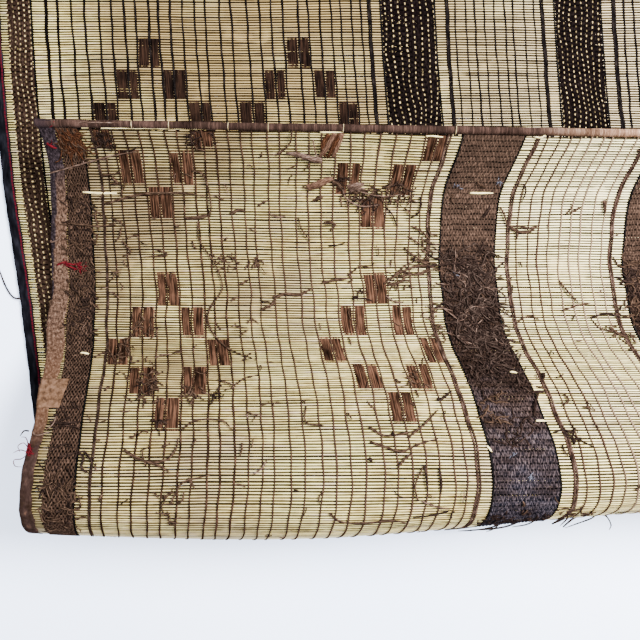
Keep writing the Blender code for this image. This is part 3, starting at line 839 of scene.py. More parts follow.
def layBinding(name, node, outer, way):
    steps = int(matLength / binding["step"])
    # how far in and, in mm, how far proud: out along the front, round the mat's edge and in along the back
    profile = [(0.0148, 1.3), (0.0145, 1.98), (0.0105, 1.98), (0.006, 1.98), (0.0022, 1.9), (0.0007, 1.3),
               (0.0001, 0.0), (0.0007, -1.3), (0.0022, -1.9), (0.006, -1.98), (0.0095, -1.9), (0.012, -1.98),
               (0.0145, -1.98), (0.0148, -1.2)]
    bm = bmesh.new()
    ring = [bm.verts.new((a, 0, b * mm)) for a, b in profile]
    for first, second in zip(ring, ring[1:]):
        bm.edges.new((first, second))
    bmesh.ops.spin(bm, geom=bm.verts[:] + bm.edges[:], cent=(0, 0, 0), axis=(0, 0, 1),
                   dvec=(0, matLength / steps, 0), angle=0, steps=steps)
    outside = [f for f in bm.faces if f.calc_center_median().z > 0.0018]
    if outside[0].normal.z < 0:
        bmesh.ops.reverse_faces(bm, faces=bm.faces)
    if way < 0:
        bmesh.ops.reverse_faces(bm, faces=bm.faces)
    piece = newPiece(name, bm, bindingHide)
    flat = pointsOf(piece)
    station = np.round(flat[:, 1] / (matLength / steps)).astype(int)
    back = flat[:, 2] < -0.0004
    places = np.arange(steps + 1) * matLength / steps
    ragged = wander(rng, 3, places, binding["ragged"], binding["raggedEvery"])
    backIn = np.interp(places, bindingBack["along"], bindingBack["in"]) * mm + ragged[0]
    reach = np.where(back, backIn[station], binding["front"] + 0.4 * ragged[1][station]) / binding["reach"]
    inwards = flat[:, 0] * reach
    flat[:, 0] = outer + way * (inwards + 0.5 * ragged[2][station])
    side = np.where(flat[:, 2] > 0.0004, -1, 1)
    plan = np.stack([np.maximum(inwards, 0.0003) * side, flat[:, 1]], axis=1)
    layOnMat(piece, flat, plan)
    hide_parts(node)
    return piece


leftBinding = layBinding("leftBinding", "binding_left", 0, 1)
rightBinding = layBinding("rightBinding", "binding_right", mat["width"], -1)

# Whipped rolls across both ends
roll = {"turn": 0.0023, "perTurn": 2, "ridge": 0.00016, "sides": 12, "start": -0.0002, "radius": 0.0045,
        "width": 0.0092, "height": 0.0086, "middle": 0.0044, "lump": 0.0005, "lumpEvery": 0.025,
        "lowest": -0.0019}  # the long end's roll goes no lower, clear of the floor


def layRoll(name, node, middle, lie):
    start = roll["start"]
    end = mat["width"] - roll["start"]
    steps = int((end - start) / roll["turn"] * roll["perTurn"])
    bm = bmesh.new()
    bmesh.ops.create_cone(bm, cap_ends=True, segments=roll["sides"], radius1=0.5, radius2=0.5,
                          depth=end - start)
    bmesh.ops.rotate(bm, verts=bm.verts, cent=(0, 0, 0), matrix=Matrix.Rotation(math.pi / 2, 3, "Y"))
    lengthwise = [e for e in bm.edges if abs(e.verts[0].co.x - e.verts[1].co.x) > 0.1]
    bmesh.ops.subdivide_edges(bm, edges=lengthwise, cuts=steps - 1)
    bmesh.ops.translate(bm, verts=bm.verts, vec=((end - start) / 2, 0, 0))
    piece = newPiece(name, bm, whippedHide)
    unit = pointsOf(piece)
    angle = np.arctan2(unit[:, 2], unit[:, 1])
    phase = 2 * math.pi * unit[:, 0] / roll["turn"] + angle
    lump = wander(rng, 2, unit[:, 0], roll["lump"], roll["lumpEvery"])
    fromEnd = np.minimum(unit[:, 0], (end - start) - unit[:, 0])
    swell = 0.0006 * np.clip(1 - fromEnd / 0.022, 0, 1) - 0.0016 * np.clip(1 - fromEnd / 0.002, 0, 1)
    size = 1 + (roll["ridge"] * (np.cos(phase) - 1) + swell - 0.0002) / roll["radius"]
    down = middle + np.cos(angle) * (roll["width"] / 2 * size) + 0.5 * lump[0]
    proud = lie + np.sin(angle) * (roll["height"] / 2 * size) - 0.2 * np.abs(lump[1])
    if lie > 0:
        proud = np.maximum(proud, roll["lowest"])
    flat = np.stack([start + unit[:, 0], down, proud], axis=1)
    layOnMat(piece, flat, np.stack([flat[:, 0], angle * roll["radius"]], axis=1))
    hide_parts(node)
    return piece


foldedRoll = layRoll("foldedRoll", "roll_folded_end", roll["middle"], 0)
longRoll = layRoll("longRoll", "roll_long_end", matLength - roll["middle"], 0.0022)
print("edges bound")

# Scrap of pale suede sewn over the binding
patch = {"start": 0.3045, "length": 0.036, "outer": 0.001, "inner": 0.031, "lean": 0.006, "near": 0.0023,
         "thick": 0.0012}


def layPatch():
    bm = bmesh.new()
    bmesh.ops.create_grid(bm, x_segments=14, y_segments=18, size=0.5)
    bmesh.ops.translate(bm, verts=bm.verts, vec=(0.5, 0.5, 0))
    bmesh.ops.reverse_faces(bm, faces=bm.faces)
    bmesh.ops.solidify(bm, geom=bm.faces[:], thickness=0.1)
    piece = newPiece("suedePatch", bm, paleHide)
    unit = pointsOf(piece)
    low, high = unit[:, 2].min(), unit[:, 2].max()
    level = (unit[:, 2] - low) / (high - low)
    inner = patch["inner"] - patch["lean"] * unit[:, 1]
    across = patch["outer"] + unit[:, 0] * (inner - patch["outer"])
    along = patch["start"] + unit[:, 1] * patch["length"]
    edge = np.minimum.reduce([unit[:, 0], 1 - unit[:, 0], unit[:, 1], 1 - unit[:, 1]])
    across += np.where(edge < 0.01, rng.normal(0, 0.0004, len(unit)), 0)
    cockle = 0.0003 * np.sin(unit[:, 1] * 9) * np.sin(unit[:, 0] * 7 + 1)
    proud = patch["near"] + patch["thick"] * (1 - level) * np.where(edge < 0.02, 0.4, 1)
    proud = proud + cockle * (edge > 0.02)
    flat = np.stack([across, along, -proud], axis=1)
    layOnMat(piece, flat)
    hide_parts("edge_patch")
    return piece


suedePatch = layPatch()

# Camera over the mat, looking straight down as in the photograph
camera = {"lens": 33.75, "sensor": 36, "height": 0.708, "x": -0.2546, "y": -0.3955, "pixels": 640}
cameraData = bpy.data.cameras.new("topCamera")
cameraData.lens = camera["lens"]
cameraData.sensor_width = camera["sensor"]
cameraObject = bpy.data.objects.new("topCamera", cameraData)
cameraObject.location = (camera["x"], camera["y"], camera["height"])
bpy.context.scene.collection.objects.link(cameraObject)
bpy.context.scene.camera = cameraObject
focal = camera["lens"] / camera["sensor"] * camera["pixels"]
centre = camera["pixels"] / 2

# Loose ends of thong, hide, reed and wool
# Each is laid by a few points read in the photograph's frame, in pixels from its top left corner.
spot = {"across": 0.0022, "along": 0.0018, "widest": 0.95, "furthest": 0.47}
spotU, spotW = np.meshgrid(np.arange(0.001, spot["widest"], spot["across"]),
                           np.arange(0.001, spot["furthest"], spot["along"]))
spotPlace = foldMat(np.stack([spotU.ravel(), spotW.ravel(), np.full(spotU.size, -mat["half"])], axis=1))
spotPlace = spotPlace.reshape(spotU.shape + (3,))
spotX = centre + focal * (spotPlace[:, :, 0] - camera["x"]) / (camera["height"] - spotPlace[:, :, 2])
spotY = centre - focal * (spotPlace[:, :, 1] - camera["y"]) / (camera["height"] - spotPlace[:, :, 2])


def spotAt(x, y):
    # Place on the mat under a point of the frame: the nearest of a grid of places, then on by their slopes
    row, column = np.unravel_index(np.argmin((spotX - x) ** 2 + (spotY - y) ** 2), spotX.shape)
    row = min(max(row, 1), spotX.shape[0] - 2)
    column = min(max(column, 1), spotX.shape[1] - 2)
    tilts = [[(g[row, column + 1] - g[row, column - 1]) / 2, (g[row + 1, column] - g[row - 1, column]) / 2]
             for g in (spotX, spotY)]
    off = (x - spotX[row, column], y - spotY[row, column])
    moved = np.clip(np.linalg.lstsq(tilts, off, rcond=0.2)[0], -0.8, 0.8)
    return spotU[row, column] + moved[0] * spot["across"], spotW[row, column] + moved[1] * spot["along"]


def smoothLine(points, count):
    # An even Catmull-Rom line through the points
    points = np.array(points, float)
    padded = np.vstack([2 * points[0] - points[1], points, 2 * points[-1] - points[-2]])
    fine = []
    for i in range(1, len(padded) - 2):
        a, b, c, d = padded[i - 1:i + 3]
        t = np.linspace(0, 1, 24, endpoint=False)[:, None]
        bend = (2 * a - 5 * b + 4 * c - d) * t ** 2 + (3 * b - a - 3 * c + d) * t ** 3
        fine.append(0.5 * (2 * b + (c - a) * t + bend))
    fine = np.vstack(fine + [points[-1:]])
    run = np.concatenate([[0], np.cumsum(np.linalg.norm(np.diff(fine, axis=0), axis=1))])
    even = np.linspace(0, run[-1], count)
    return np.stack([np.interp(even, run, fine[:, k]) for k in range(fine.shape[1])], axis=1)


def layThreads(name, material, spines, normals, widths, thick):
    # spines and normals have a row of places for each thread, and widths are in metres
    count, stops = spines.shape[:2]
    bm = bmesh.new()
    bmesh.ops.create_cube(bm, size=1)
    lengthwise = [e for e in bm.edges if abs(e.verts[0].co.y - e.verts[1].co.y) > 0.5]
    bmesh.ops.subdivide_edges(bm, edges=lengthwise, cuts=stops - 2)
    bmesh.ops.translate(bm, verts=bm.verts, vec=(0.5, 0.5, 0))
    repeatAlong(bm, count, 0, 2)
    bmesh.ops.reverse_faces(bm, faces=bm.faces)
    piece = newPiece(name, bm, material)
    unit = pointsOf(piece)
    which = (unit[:, 0] / 2).astype(int)
    stop = np.round(unit[:, 1] * (stops - 1)).astype(int)
    run = np.gradient(spines, axis=1)
    run /= np.linalg.norm(run, axis=2)[:, :, None] + 1e-12
    sides = np.cross(normals, run)
    sides /= np.linalg.norm(sides, axis=2)[:, :, None] + 1e-12
    up = np.cross(run, sides)
    x = unit[:, 0] - 2 * which - 0.5
    width = widths[which, stop]
    deep = np.minimum(thick, width * 0.8)
    place = spines[which, stop]
    place = place + sides[which, stop] * (x * width)[:, None] + up[which, stop] * (unit[:, 2] * deep)[:, None]
    gone = np.cumsum(np.linalg.norm(np.diff(spines, axis=1), axis=2), axis=1)
    length = np.concatenate([np.zeros((count, 1)), gone], axis=1)
    giveMap(piece, np.stack([length[which, stop] + 0.13 * which, x * width + 0.07 * which], axis=1))
    piece.data.vertices.foreach_set("co", place.ravel())
    piece.data.update()
    return piece


backFace = 0.0019  # from the mat's middle out to its back


def onBack(across, along, lift):
    # Places and outward directions on the back of the mat, lifted by so much
    flat = np.stack([across.ravel(), along.ravel(), -(backFace + lift.ravel())], axis=1)
    raised = flat.copy()
    raised[:, 2] -= mm
    low, high = foldMat(flat), foldMat(raised)
    return low.reshape(across.shape + (3,)), ((high - low) / mm).reshape(across.shape + (3,))


def taper(count, stops, widths, tip=0.35):
    # Widths along each thread, which narrows to tip times its width over its last two fifths
    run = np.linspace(0, 1, stops)[None, :]
    shape = 1 - (1 - tip) * np.clip((run - 0.6) / 0.4, 0, 1) ** 1.5
    return np.array(widths)[:, None] * shape * (1 + rng.normal(0, 0.08, (count, stops)))


loose = {
    # width in mm, then the points of the frame that it passes
    "brown": [
        (1.7, (105, 204), (142, 194), (182, 193), (205, 196)),
        (1.3, (122, 241), (131, 252), (122, 257)),
        (1.3, (155, 249), (168, 255), (142, 257)),
        (1.2, (101, 176), (119, 172), (123, 168)),
        (1.4, (69, 223), (95, 226), (116, 225)),
        (1.3, (111, 272), (122, 273)),
        (1.2, (192, 171), (203, 174), (210, 196), (210, 214), (196, 219), (184, 218)),
        (2.2, (185, 218), (198, 217), (211, 215)),
        (1.2, (231, 214), (239, 211)),
        (1.0, (198, 221), (199, 240), (214, 262), (223, 286), (216, 300), (209, 309), (209, 324), (216, 338)),
        (1.1, (214, 301), (207, 320), (219, 341), (234, 352), (256, 360)),
        (1.1, (292, 130), (290, 142), (280, 154)),
        (1.6, (276, 155), (287, 147)),
        (2.0, (230, 214), (238, 210), (245, 211)),
        (1.5, (258, 206), (264, 202), (269, 200)),
        (1.0, (298, 217), (302, 230), (310, 241), (296, 242)),
        (1.9, (322, 283), (337, 280), (352, 278)),
        (1.4, (348, 274), (352, 280), (346, 284)),
        (2.4, (273, 298), (286, 294), (299, 295), (313, 288)),
        (2.2, (261, 310), (272, 305), (277, 296)),
        (1.6, (231, 301), (238, 297)),
        (1.5, (240, 285), (249, 280)),
        (1.2, (348, 275), (355, 270), (361, 265)),
        (1.4, (359, 265), (371, 268)),
        (1.8, (388, 285), (398, 283), (407, 277)),
        (1.9, (124, 450), (135, 457), (147, 462), (160, 466), (170, 473)),
        (1.4, (147, 462), (160, 462), (170, 458), (177, 447), (178, 438)),
        (1.2, (182, 430), (196, 421), (222, 421), (232, 430), (237, 431)),
        (1.2, (170, 505), (176, 493), (184, 482), (210, 475)),
        (1.5, (173, 353), (182, 353)),
        (1.4, (105, 391), (110, 387)),
        (1.1, (217, 380), (228, 384), (234, 388), (224, 391)),
        (1.1, (234, 386), (245, 379), (259, 375)),
        (1.5, (369, 427), (378, 433), (386, 436), (404, 434), (419, 430)),
        (1.5, (408, 438), (424, 425), (438, 410)),
        (1.5, (370, 442), (385, 447), (401, 452), (420, 444), (438, 439)),
        (1.6, (398, 467), (405, 459), (413, 453)),
        (1.2, (418, 501), (415, 490), (416, 481), (424, 465)),
        (1.5, (330, 513), (336, 519), (344, 522), (368, 522), (393, 520), (408, 523)),
        (1.1, (306, 406), (306, 423), (324, 426)),
        (1.3, (347, 413), (352, 420)),
        (1.3, (564, 394), (568, 401), (562, 407)),
        (1.2, (583, 407), (592, 410)),
        (2.2, (510, 228), (520, 232), (530, 231), (538, 225)),
        (1.6, (509, 227), (518, 226), (528, 228), (537, 226)),
        (1.5, (516, 231), (517, 235), (516, 239)),
        (1.3, (500, 207), (504, 215), (507, 226)),
        (1.5, (570, 213), (582, 206)),
        (2.4, (604, 200), (605, 213)),
        (1.3, (559, 281), (568, 293), (579, 304)),
        (1.3, (562, 311), (576, 306), (591, 303)),
        (1.2, (513, 328), (522, 319), (532, 317), (539, 320)),
        (1.9, (609, 327), (616, 333), (626, 338)),
        (1.6, (46, 300), (50, 306)),
        (2.2, (112, 177), (118, 183), (111, 184)),
        (2.0, (313, 201), (322, 197)),
        (2.0, (324, 223), (335, 224), (330, 231)),
        (1.9, (388, 280), (402, 272), (414, 267), (427, 266), (439, 269)),
        (1.4, (384, 284), (396, 274), (408, 264), (420, 259)),
        (1.4, (404, 272), (418, 275), (432, 270), (444, 272)),
        (1.5, (404, 248), (414, 256), (426, 262), (437, 264)),
        (1.2, (408, 236), (418, 243), (428, 250), (438, 253)),
        (1.4, (411, 258), (420, 262), (432, 266)),
        (1.3, (398, 277), (409, 275), (420, 273), (431, 268)),
        (1.3, (427, 228), (431, 234), (438, 236)),
        (1.6, (412, 226), (422, 232), (430, 240)),
        (1.6, (424, 240), (432, 244), (440, 244)),
    ],
    "dark": [
        (1.4, (516, 184), (524, 185), (525, 193), (521, 203)),
        (3.0, (483, 217), (487, 212), (490, 206)),
        (1.8, (329, 246), (337, 245), (345, 243)),
        (2.0, (409, 268), (440, 265), (476, 261), (495, 262)),
        (2.0, (420, 197), (421, 205), (417, 214), (407, 219)),
        (2.4, (428, 254), (434, 258), (444, 259)),
        (1.6, (387, 208), (393, 216), (396, 226)),
        (3.0, (543, 373), (544, 379)),
        (3.0, (532, 393), (545, 392)),
        (2.6, (538, 394), (535, 404), (534, 417)),
        (1.7, (553, 433), (566, 431), (580, 442)),
        (1.9, (563, 433), (572, 438), (575, 446)),
        (2.2, (424, 465), (426, 476), (427, 491)),
        (2.2, (439, 468), (441, 480), (441, 493)),
        (1.9, (413, 517), (432, 514), (451, 510)),
        (3.4, (391, 434), (395, 436)),
        (3.2, (369, 458), (372, 462)),
        (2.8, (437, 399), (441, 400), (452, 391)),
        (2.4, (78, 452), (84, 458), (82, 468), (90, 474)),
        (2.2, (84, 451), (92, 462), (90, 473)),
        (2.2, (49, 422), (64, 424), (81, 422)),
        (1.8, (52, 430), (66, 426), (80, 429)),
        (1.6, (123, 151), (134, 149), (138, 146)),
        (1.5, (519, 262), (522, 267)),
        (2.0, (294, 490), (299, 491)),
        (2.0, (590, 318), (606, 314), (622, 318)),
        (2.0, (616, 277), (626, 282), (640, 284)),
        (2.0, (620, 284), (630, 278), (640, 276)),
    ],
    "pale": [
        (1.1, (50, 173), (88, 162), (110, 156), (137, 151)),
        (0.8, (72, 125), (80, 119), (90, 117), (107, 117), (113, 121), (123, 122)),
        (1.7, (342, 187), (346, 198), (360, 206), (378, 205)),
        (1.0, (155, 358), (163, 356), (173, 355)),
        (1.5, (46, 430), (53, 425), (57, 416)),
        (1.0, (270, 214), (278, 217), (286, 216)),
        (1.0, (611, 237), (619, 234)),
        (0.9, (444, 309), (458, 320)),
        (1.3, (254, 474), (262, 468), (268, 459)),
        (1.4, (422, 501), (436, 506), (450, 509)),
        (0.8, (28, 240), (40, 242), (58, 240), (62, 234)),
        (0.9, (313, 140), (315, 150), (318, 160)),
        (1.6, (386, 296), (395, 302), (404, 302)),
        (1.0, (352, 188), (366, 193), (384, 196), (402, 194)),
        (1.1, (28, 432), (38, 436), (50, 432)),
    ],
}
redEnds = [  # width in mm and points
    (1.5, (53, 119), (54, 123), (50, 127)),
    (2.2, (47, 143), (52, 146), (57, 148)),
    (1.9, (57, 265), (63, 263), (69, 264), (76, 265), (83, 267)),
    (1.7, (66, 265), (73, 268), (80, 270)),
    (1.3, (26, 445), (31, 450), (28, 456)),
]
flaps = [  # tone, width in mm and points
    ("tan", 5.4, (342, 133), (338, 144), (332, 158)),
    ("tan", 5.6, (335, 133), (328, 145), (319, 157)),
    ("rusty", 5.2, (329, 134), (323, 144), (325, 157)),
    ("rusty", 5.0, (340, 134), (333, 146), (327, 158)),
    ("pale", 6.4, (322, 161), (310, 158), (298, 154), (286, 153)),
    ("tan", 8.0, (307, 188), (317, 184), (326, 180), (333, 178)),
    ("pale", 6.4, (347, 187), (356, 185), (364, 184)),
    ("pale", 3.6, (350, 191), (358, 188), (365, 189)),
    ("brown", 4.0, (316, 199), (323, 196)),
    ("brown", 3.4, (326, 222), (334, 223)),
    ("brown", 4.4, (332, 182), (338, 184), (342, 190)),
]
slivers = [  # width in mm and points
    (0.9, (101, 128), (150, 128), (218, 129)),
    (1.2, (320, 132), (331, 132), (343, 132)),
    (1.1, (426, 136), (434, 136), (443, 137)),
    (1.9, (83, 192), (100, 193), (117, 193)),
    (2.0, (470, 193), (493, 193)),
    (1.3, (535, 137), (542, 137), (549, 131)),
    (1.6, (510, 372), (517, 373)),
    (1.8, (536, 421), (546, 421)),
    (2.0, (81, 353), (89, 354)),
    (1.2, (487, 446), (492, 452)),
]


thinnest = 1.5  # in mm, because a finer strand would break up in the render


def layLoose(name, material, lines, lift, stops=17, thick=0.0007, wider=1.0):
    spines, normals, widths = [], [], []
    for line in lines:
        path = smoothLine([spotAt(x, y) for x, y in line[1:]], stops)
        rise = lift * (0.25 + np.sin(np.linspace(0.1, math.pi - 0.2, stops)) * rng.uniform(0.5, 1.2))
        place, normal = onBack(path[None, :, 0], path[None, :, 1], rise[None, :])
        spines.append(place[0])
        normals.append(normal[0])
        widths.append(max(line[0] * wider, thinnest) * mm)
    return layThreads(name, material, np.array(spines), np.array(normals),
                      taper(len(lines), stops, widths), thick)


stitch = {"at": (132, 169, 228, 268, 343, 456), "line": 128, "width": 0.0008}  # over the roll, in the frame


def layStitches():
    stops = 9
    turn = np.linspace(0.25, 0.75, stops) * 2 * math.pi
    across = np.array([spotAt(x, stitch["line"])[0] for x in stitch["at"]])[:, None]
    across = across + np.linspace(0, 0.0006, stops)
    along = roll["middle"] + 0.0047 * np.cos(turn - math.pi / 2)[None, :] + np.zeros_like(across)
    lift = 0.0045 * np.sin(turn - math.pi / 2)[None, :] - backFace + np.zeros_like(across)
    place, normal = onBack(across, along, lift)
    return layThreads("rollStitches", creamThread, place, normal,
                      taper(len(across), stops, [stitch["width"]] * len(across), 0.8), 0.0003)


flapTones = {"tan": looseTan, "pale": loosePale, "brown": looseBrown, "rusty": looseRusty}
loosePieces = [
    layLoose("brownEnds", looseBrown, loose["brown"], 0.0016, wider=1.5),
    layLoose("blackEnds", looseDark, loose["dark"], 0.0014),
    layLoose("paleEnds", loosePale, loose["pale"], 0.0015, 25),
    layLoose("redEnds", redWool, redEnds, 0.0014),
    layStitches(),
    layLoose("reedSlivers", reedSliver, slivers, 0.0006, 9, 0.0012),
]
for tone, material in flapTones.items():
    chosen = [f[1:] for f in flaps if f[0] == tone]
    loosePieces.append(layLoose(tone + "Flaps", material, chosen, 0.0025, 13, 0.0009))
print("loose ends laid")

# Frayed tangles: many short curls in the places where the hide is worn through
tangles = [
    # left, top, right and bottom in the frame, number, length in mm, tone, string spacings they keep to
    (436, 250, 500, 345, 190, 24, "umber", 33.4, 36.9),
    (436, 250, 500, 345, 200, 20, "dark", 33.4, 36.9),
    (440, 262, 496, 340, 34, 20, "pale", 33.4, 36.9),
    (466, 340, 530, 392, 80, 12, "umber", 32.8, 37.4),
    (466, 340, 530, 392, 60, 12, "dark", 32.8, 37.4),
    (480, 396, 500, 424, 22, 9, "brown", 32.8, 37.4),
    (500, 420, 530, 445, 20, 12, "dark", 32.8, 37.4),
    (612, 262, 640, 330, 70, 13, "brown", 48.3, 60),
    (612, 268, 640, 300, 50, 11, "dark", 48.3, 60),
    (600, 326, 632, 345, 11, 12, "brown", 0, 90),
    (54, 126, 88, 150, 80, 15, "rusty", 1.3, 3.8),
    (56, 130, 100, 345, 190, 9, "brown", 1.5, 3.9),
    (60, 190, 100, 345, 120, 9, "dark", 1.5, 3.9),
    (38, 470, 80, 530, 60, 10, "brown", 1.5, 3.9),
    (40, 400, 80, 530, 60, 9, "dark", 1.5, 3.9),
    (214, 257, 238, 270, 16, 8, "brown", 0, 90),
    (246, 259, 262, 271, 12, 8, "brown", 0, 90),
    (421, 230, 433, 264, 6, 8, "brown", 0, 90),
    (92, 165, 135, 300, 20, 14, "brown", 0, 90),
    (96, 300, 260, 480, 26, 12, "brown", 0, 90),
    (332, 176, 346, 192, 14, 7, "dark", 0, 90),
    (350, 186, 412, 200, 40, 11, "brown", 0, 90),
    (350, 186, 412, 200, 22, 11, "dark", 0, 90),
    (360, 194, 384, 212, 20, 8, "dark", 0, 90),
    (388, 270, 410, 292, 14, 9, "brown", 0, 90),
    (352, 290, 364, 300, 8, 8, "dark", 0, 90),
    (131, 318, 158, 340, 20, 8, "brown", 0, 90),
    (132, 366, 160, 404, 30, 8, "brown", 0, 90),
    (138, 380, 152, 396, 12, 7, "dark", 0, 90),
    (183, 386, 200, 402, 16, 8, "brown", 0, 90),
    (209, 390, 224, 400, 12, 7, "dark", 0, 90),
    (103, 338, 132, 366, 20, 10, "brown", 0, 90),
    (154, 420, 166, 432, 8, 7, "dark", 0, 90),
    (562, 432, 582, 446, 8, 10, "dark", 0, 90),
    (478, 514, 548, 526, 60, 6, "dark", 0, 90),
    (560, 508, 582, 516, 12, 12, "brown", 0, 90),
    (96, 132, 116, 150, 30, 8, "dark", 0, 90),
    (184, 128, 214, 152, 20, 8, "dark", 0, 90),
    (158, 484, 184, 527, 14, 10, "brown", 0, 90),
    (424, 300, 452, 345, 20, 10, "brown", 30, 33),
    (400, 362, 424, 386, 12, 9, "brown", 0, 90),
]


def curl(starts, headings, lengths, turns, stops):
    # Lines that leave each start at its heading and turn on the way, in the flat mat's plan
    run = np.linspace(0, 1, stops)[None, :]
    kinks = wander(rng, len(starts), np.linspace(0, 1, stops), 0.5, 0.8)
    angle = headings[:, None] + turns[:, None] * run ** 1.3 + kinks
    step = lengths[:, None] / (stops - 1)
    x = starts[:, 0, None] + np.cumsum(np.cos(angle) * step, axis=1) - np.cos(angle[:, :1]) * step
    y = starts[:, 1, None] + np.cumsum(np.sin(angle) * step, axis=1) - np.sin(angle[:, :1]) * step
    return x, y


def layTangle(name, material, starts, lengths, width, lift, stops=9, along=False):
    # Curls at all angles, or, with along, combed along the strings
    count = len(starts)
    headings = rng.normal(1.3, 0.35, count) if along else rng.uniform(0, 2 * math.pi, count)
    x, y = curl(starts, headings, lengths * rng.uniform(0.6, 1.6, count),
                rng.normal(0, 0.6 if along else 1.0, count) * lengths / 0.01, stops)
    x = np.clip(x, 0.001, mat["width"] - 0.001)
    y = np.clip(y, 0.001, 0.52)
    hump = np.sin(np.linspace(0.2, math.pi - 0.3, stops))[None, :]
    rise = lift * rng.uniform(0.1, 1.0, (count, 1)) * (0.3 + hump * rng.uniform(0.2, 1.0, (count, 1)))
    place, normal = onBack(x, y, rise)
    widths = taper(count, stops, width * rng.uniform(0.6, 1.3, count), 0.5)
    return layThreads(name, material, place, normal, widths, 0.0005)


tones = {
    # material, slot, width, and how many more lie over the rest of the folded end
    "brown": (looseBrown, "brown_leather", 0.0016, 110),
    "umber": (looseUmber, "brown_leather", 0.0014, 0),
    "dark": (looseDark, "black_leather", 0.0014, 30),
    "pale": (loosePale, "pale_leather", 0.0010, 40),
    "rusty": (looseRusty, "brown_leather", 0.0011, 0),
}
for tone, (material, slotName, width, more) in tones.items():
    starts, lengths = [], []
    for left, top, right, bottom, number, length, kind, first, last in tangles:
        if kind == tone:
            tries = [spotAt(rng.uniform(left, right), rng.uniform(top, bottom)) for _ in range(number)]
            kept = [p for p in tries if first < p[0] / mat["spacing"] < last]
            starts += kept
            lengths += [length * mm] * len(kept)
    for _ in range(more):
        starts.append((rng.uniform(0.03, 1.17), rng.uniform(0.02, 0.48)))
        lengths.append(0.009)
    combed = tone == "rusty"
    loosePieces.append(layTangle(tone + "Fray", material, np.array(starts), np.array(lengths),
                                 width, 0.0012 if combed else 0.0022, along=combed))
print("tangles laid", sum(len(p.data.polygons) for p in loosePieces))

# Red wool tufts and grey lint
# place, number of hairs and their spread in pixels
tufts = [(51, 144, 5, 2), (66, 264, 12, 4), (79, 268, 34, 7), (28, 449, 16, 3), (30, 453, 9, 3)]
lint = [(457, 186, 7, 4), (500, 182, 7, 3), (531, 476, 8, 2), (457, 274, 6, 3), (513, 455, 5, 3)]
for name, spots, material, slotName, hair in (("redTufts", tufts, redWool, "brown_leather", 0.0045),
                                              ("lint", lint, greyLint, "pale_leather", 0.0032)):
    starts = [spotAt(x + rng.normal(0, spread * 0.4), y + rng.normal(0, spread * 0.4))
              for x, y, number, spread in spots for _ in range(number)]
    loosePieces.append(layTangle(name, material, np.array(starts), np.full(len(starts), hair),
                                 0.0005, 0.0025))


# Thongs that hang free at the front of the loop, and one that lies on the floor
hanging = [
    # width in mm, then x and y in the photograph's frame and height above the floor in mm
    (4.0, (579, 511, 84), (566, 517, 70), (552, 524, 52)),
    (2.4, (590, 511, 84), (574, 518, 60), (563, 527, 40)),
    (1.4, (598, 512, 82), (592, 518, 60), (576, 524, 44), (565, 528, 34)),
    (1.4, (600, 512, 82), (607, 517, 66), (611, 525, 50), (609, 530, 40)),
    (1.2, (574, 512, 84), (566, 520, 66), (560, 526, 50)),
    (1.8, (498, 519, 70), (480, 525, 50), (462, 528, 40), (444, 530, 34)),
    (1.5, (510, 520, 68), (492, 527, 48), (476, 530, 38), (458, 531, 34)),
    (1.4, (490, 517, 72), (474, 522, 56), (452, 527, 44), (438, 529, 38)),
    (2.0, (524, 519, 68), (508, 526, 50), (490, 529, 40), (470, 530, 36)),
    (1.3, (540, 517, 70), (528, 524, 52), (512, 527, 42)),
    (1.3, (505, 518, 70), (495, 528, 46), (486, 532, 36)),
    (1.3, (29, 431, 118), (24, 431, 118), (20, 436, 116)),
]
floorThong = [(1.8, (21, 299, 4), (13, 297, 2), (6, 287, 1), (0, 272, 1), (-3, 266, 1))]
tendrils = [
    (0.7, (29, 449, 116), (24, 443, 118), (18, 446, 118), (20, 452, 117)),
    (0.7, (28, 452, 116), (20, 450, 117), (13, 453, 118)),
    (0.7, (27, 455, 115), (21, 459, 116), (14, 460, 116), (15, 466, 114), (23, 467, 112)),
    (0.7, (29, 447, 116), (26, 438, 118), (21, 437, 119)),
]


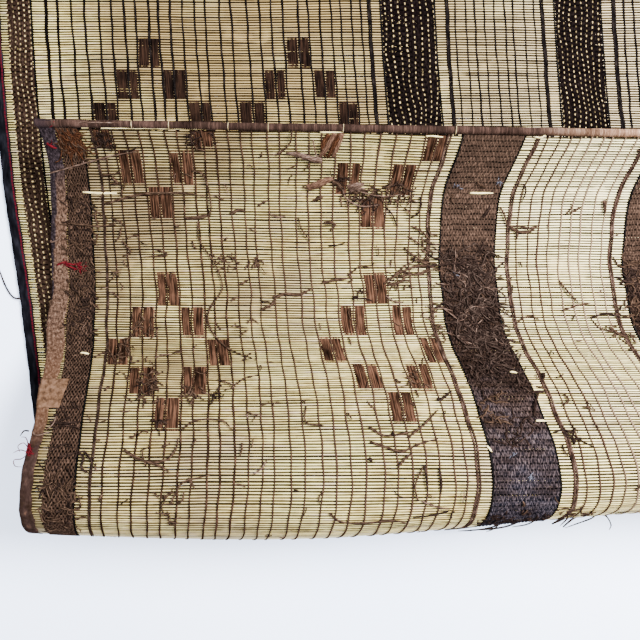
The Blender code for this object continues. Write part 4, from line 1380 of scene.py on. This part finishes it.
def layHanging(name, material, lines):
    stops = 17
    spines, widths = [], []
    for width, *points in lines:
        places = []
        for x, y, height in points:
            scale = (camera["height"] - height * mm) / focal
            across, along = (x - centre) * scale, (centre - y) * scale
            places.append((camera["x"] + across, camera["y"] + along, height * mm))
        spines.append(smoothLine(places, stops))
        widths.append(width * mm)
    normals = np.zeros((len(spines), stops, 3)) + (0, -0.4, 0.9)
    return layThreads(name, material, np.array(spines), normals,
                      taper(len(spines), stops, widths), 0.0008)


loosePieces.append(layHanging("hangingThongs", looseUmber, hanging))
loosePieces.append(layHanging("floorThong", looseDark, floorThong))
loosePieces.append(layHanging("redTendrils", redWool, tendrils))

# Floor and soft light
floorPaint, add, floorShader = newMaterial("paintedFloor", 0.6)
floorTone = add("TexNoise", {"Vector": add("TexCoord", out="Object"), "Scale": 3.0})
floorShade = add("ValToRGB", (floorTone,), stops=[(0.3, "#D8E4FF"), (0.7, "#DFE9FF")])
floorPaint.node_tree.links.new(floorShade, floorShader.inputs["Base Color"])
floorMesh = bmesh.new()
bmesh.ops.create_grid(floorMesh, x_segments=2, y_segments=2, size=4)
floorData = bpy.data.meshes.new("floor")
floorMesh.to_mesh(floorData)
floorMesh.free()
floorData.materials.append(floorPaint)
floor = bpy.data.objects.new("floor", floorData)
bpy.context.scene.collection.objects.link(floor)

lights = [
    {"name": "windowLight", "place": (0.85, 0.1, 1.25), "aim": (0, -0.35, 0), "size": 0.8, "power": 235},
    {"name": "skyLight", "place": (-1.6, -1.2, 2.6), "aim": (0, 0, 0), "size": 2.5, "power": 120},
]
for light in lights:
    data = bpy.data.lights.new(light["name"], "AREA")
    data.shape = "DISK"
    data.size = light["size"]
    data.energy = light["power"]
    lamp = bpy.data.objects.new(light["name"], data)
    lamp.location = light["place"]
    lamp.rotation_euler = (Vector(light["aim"]) - Vector(light["place"])).to_track_quat("-Z", "Y").to_euler()
    bpy.context.scene.collection.objects.link(lamp)
world = bpy.data.worlds.new("softStudio")
world.use_nodes = True
world.node_tree.nodes["Background"].inputs["Color"].default_value = (0.93, 0.96, 1, 1)
world.node_tree.nodes["Background"].inputs["Strength"].default_value = 2.2
bpy.context.scene.world = world
print("floor and light set")
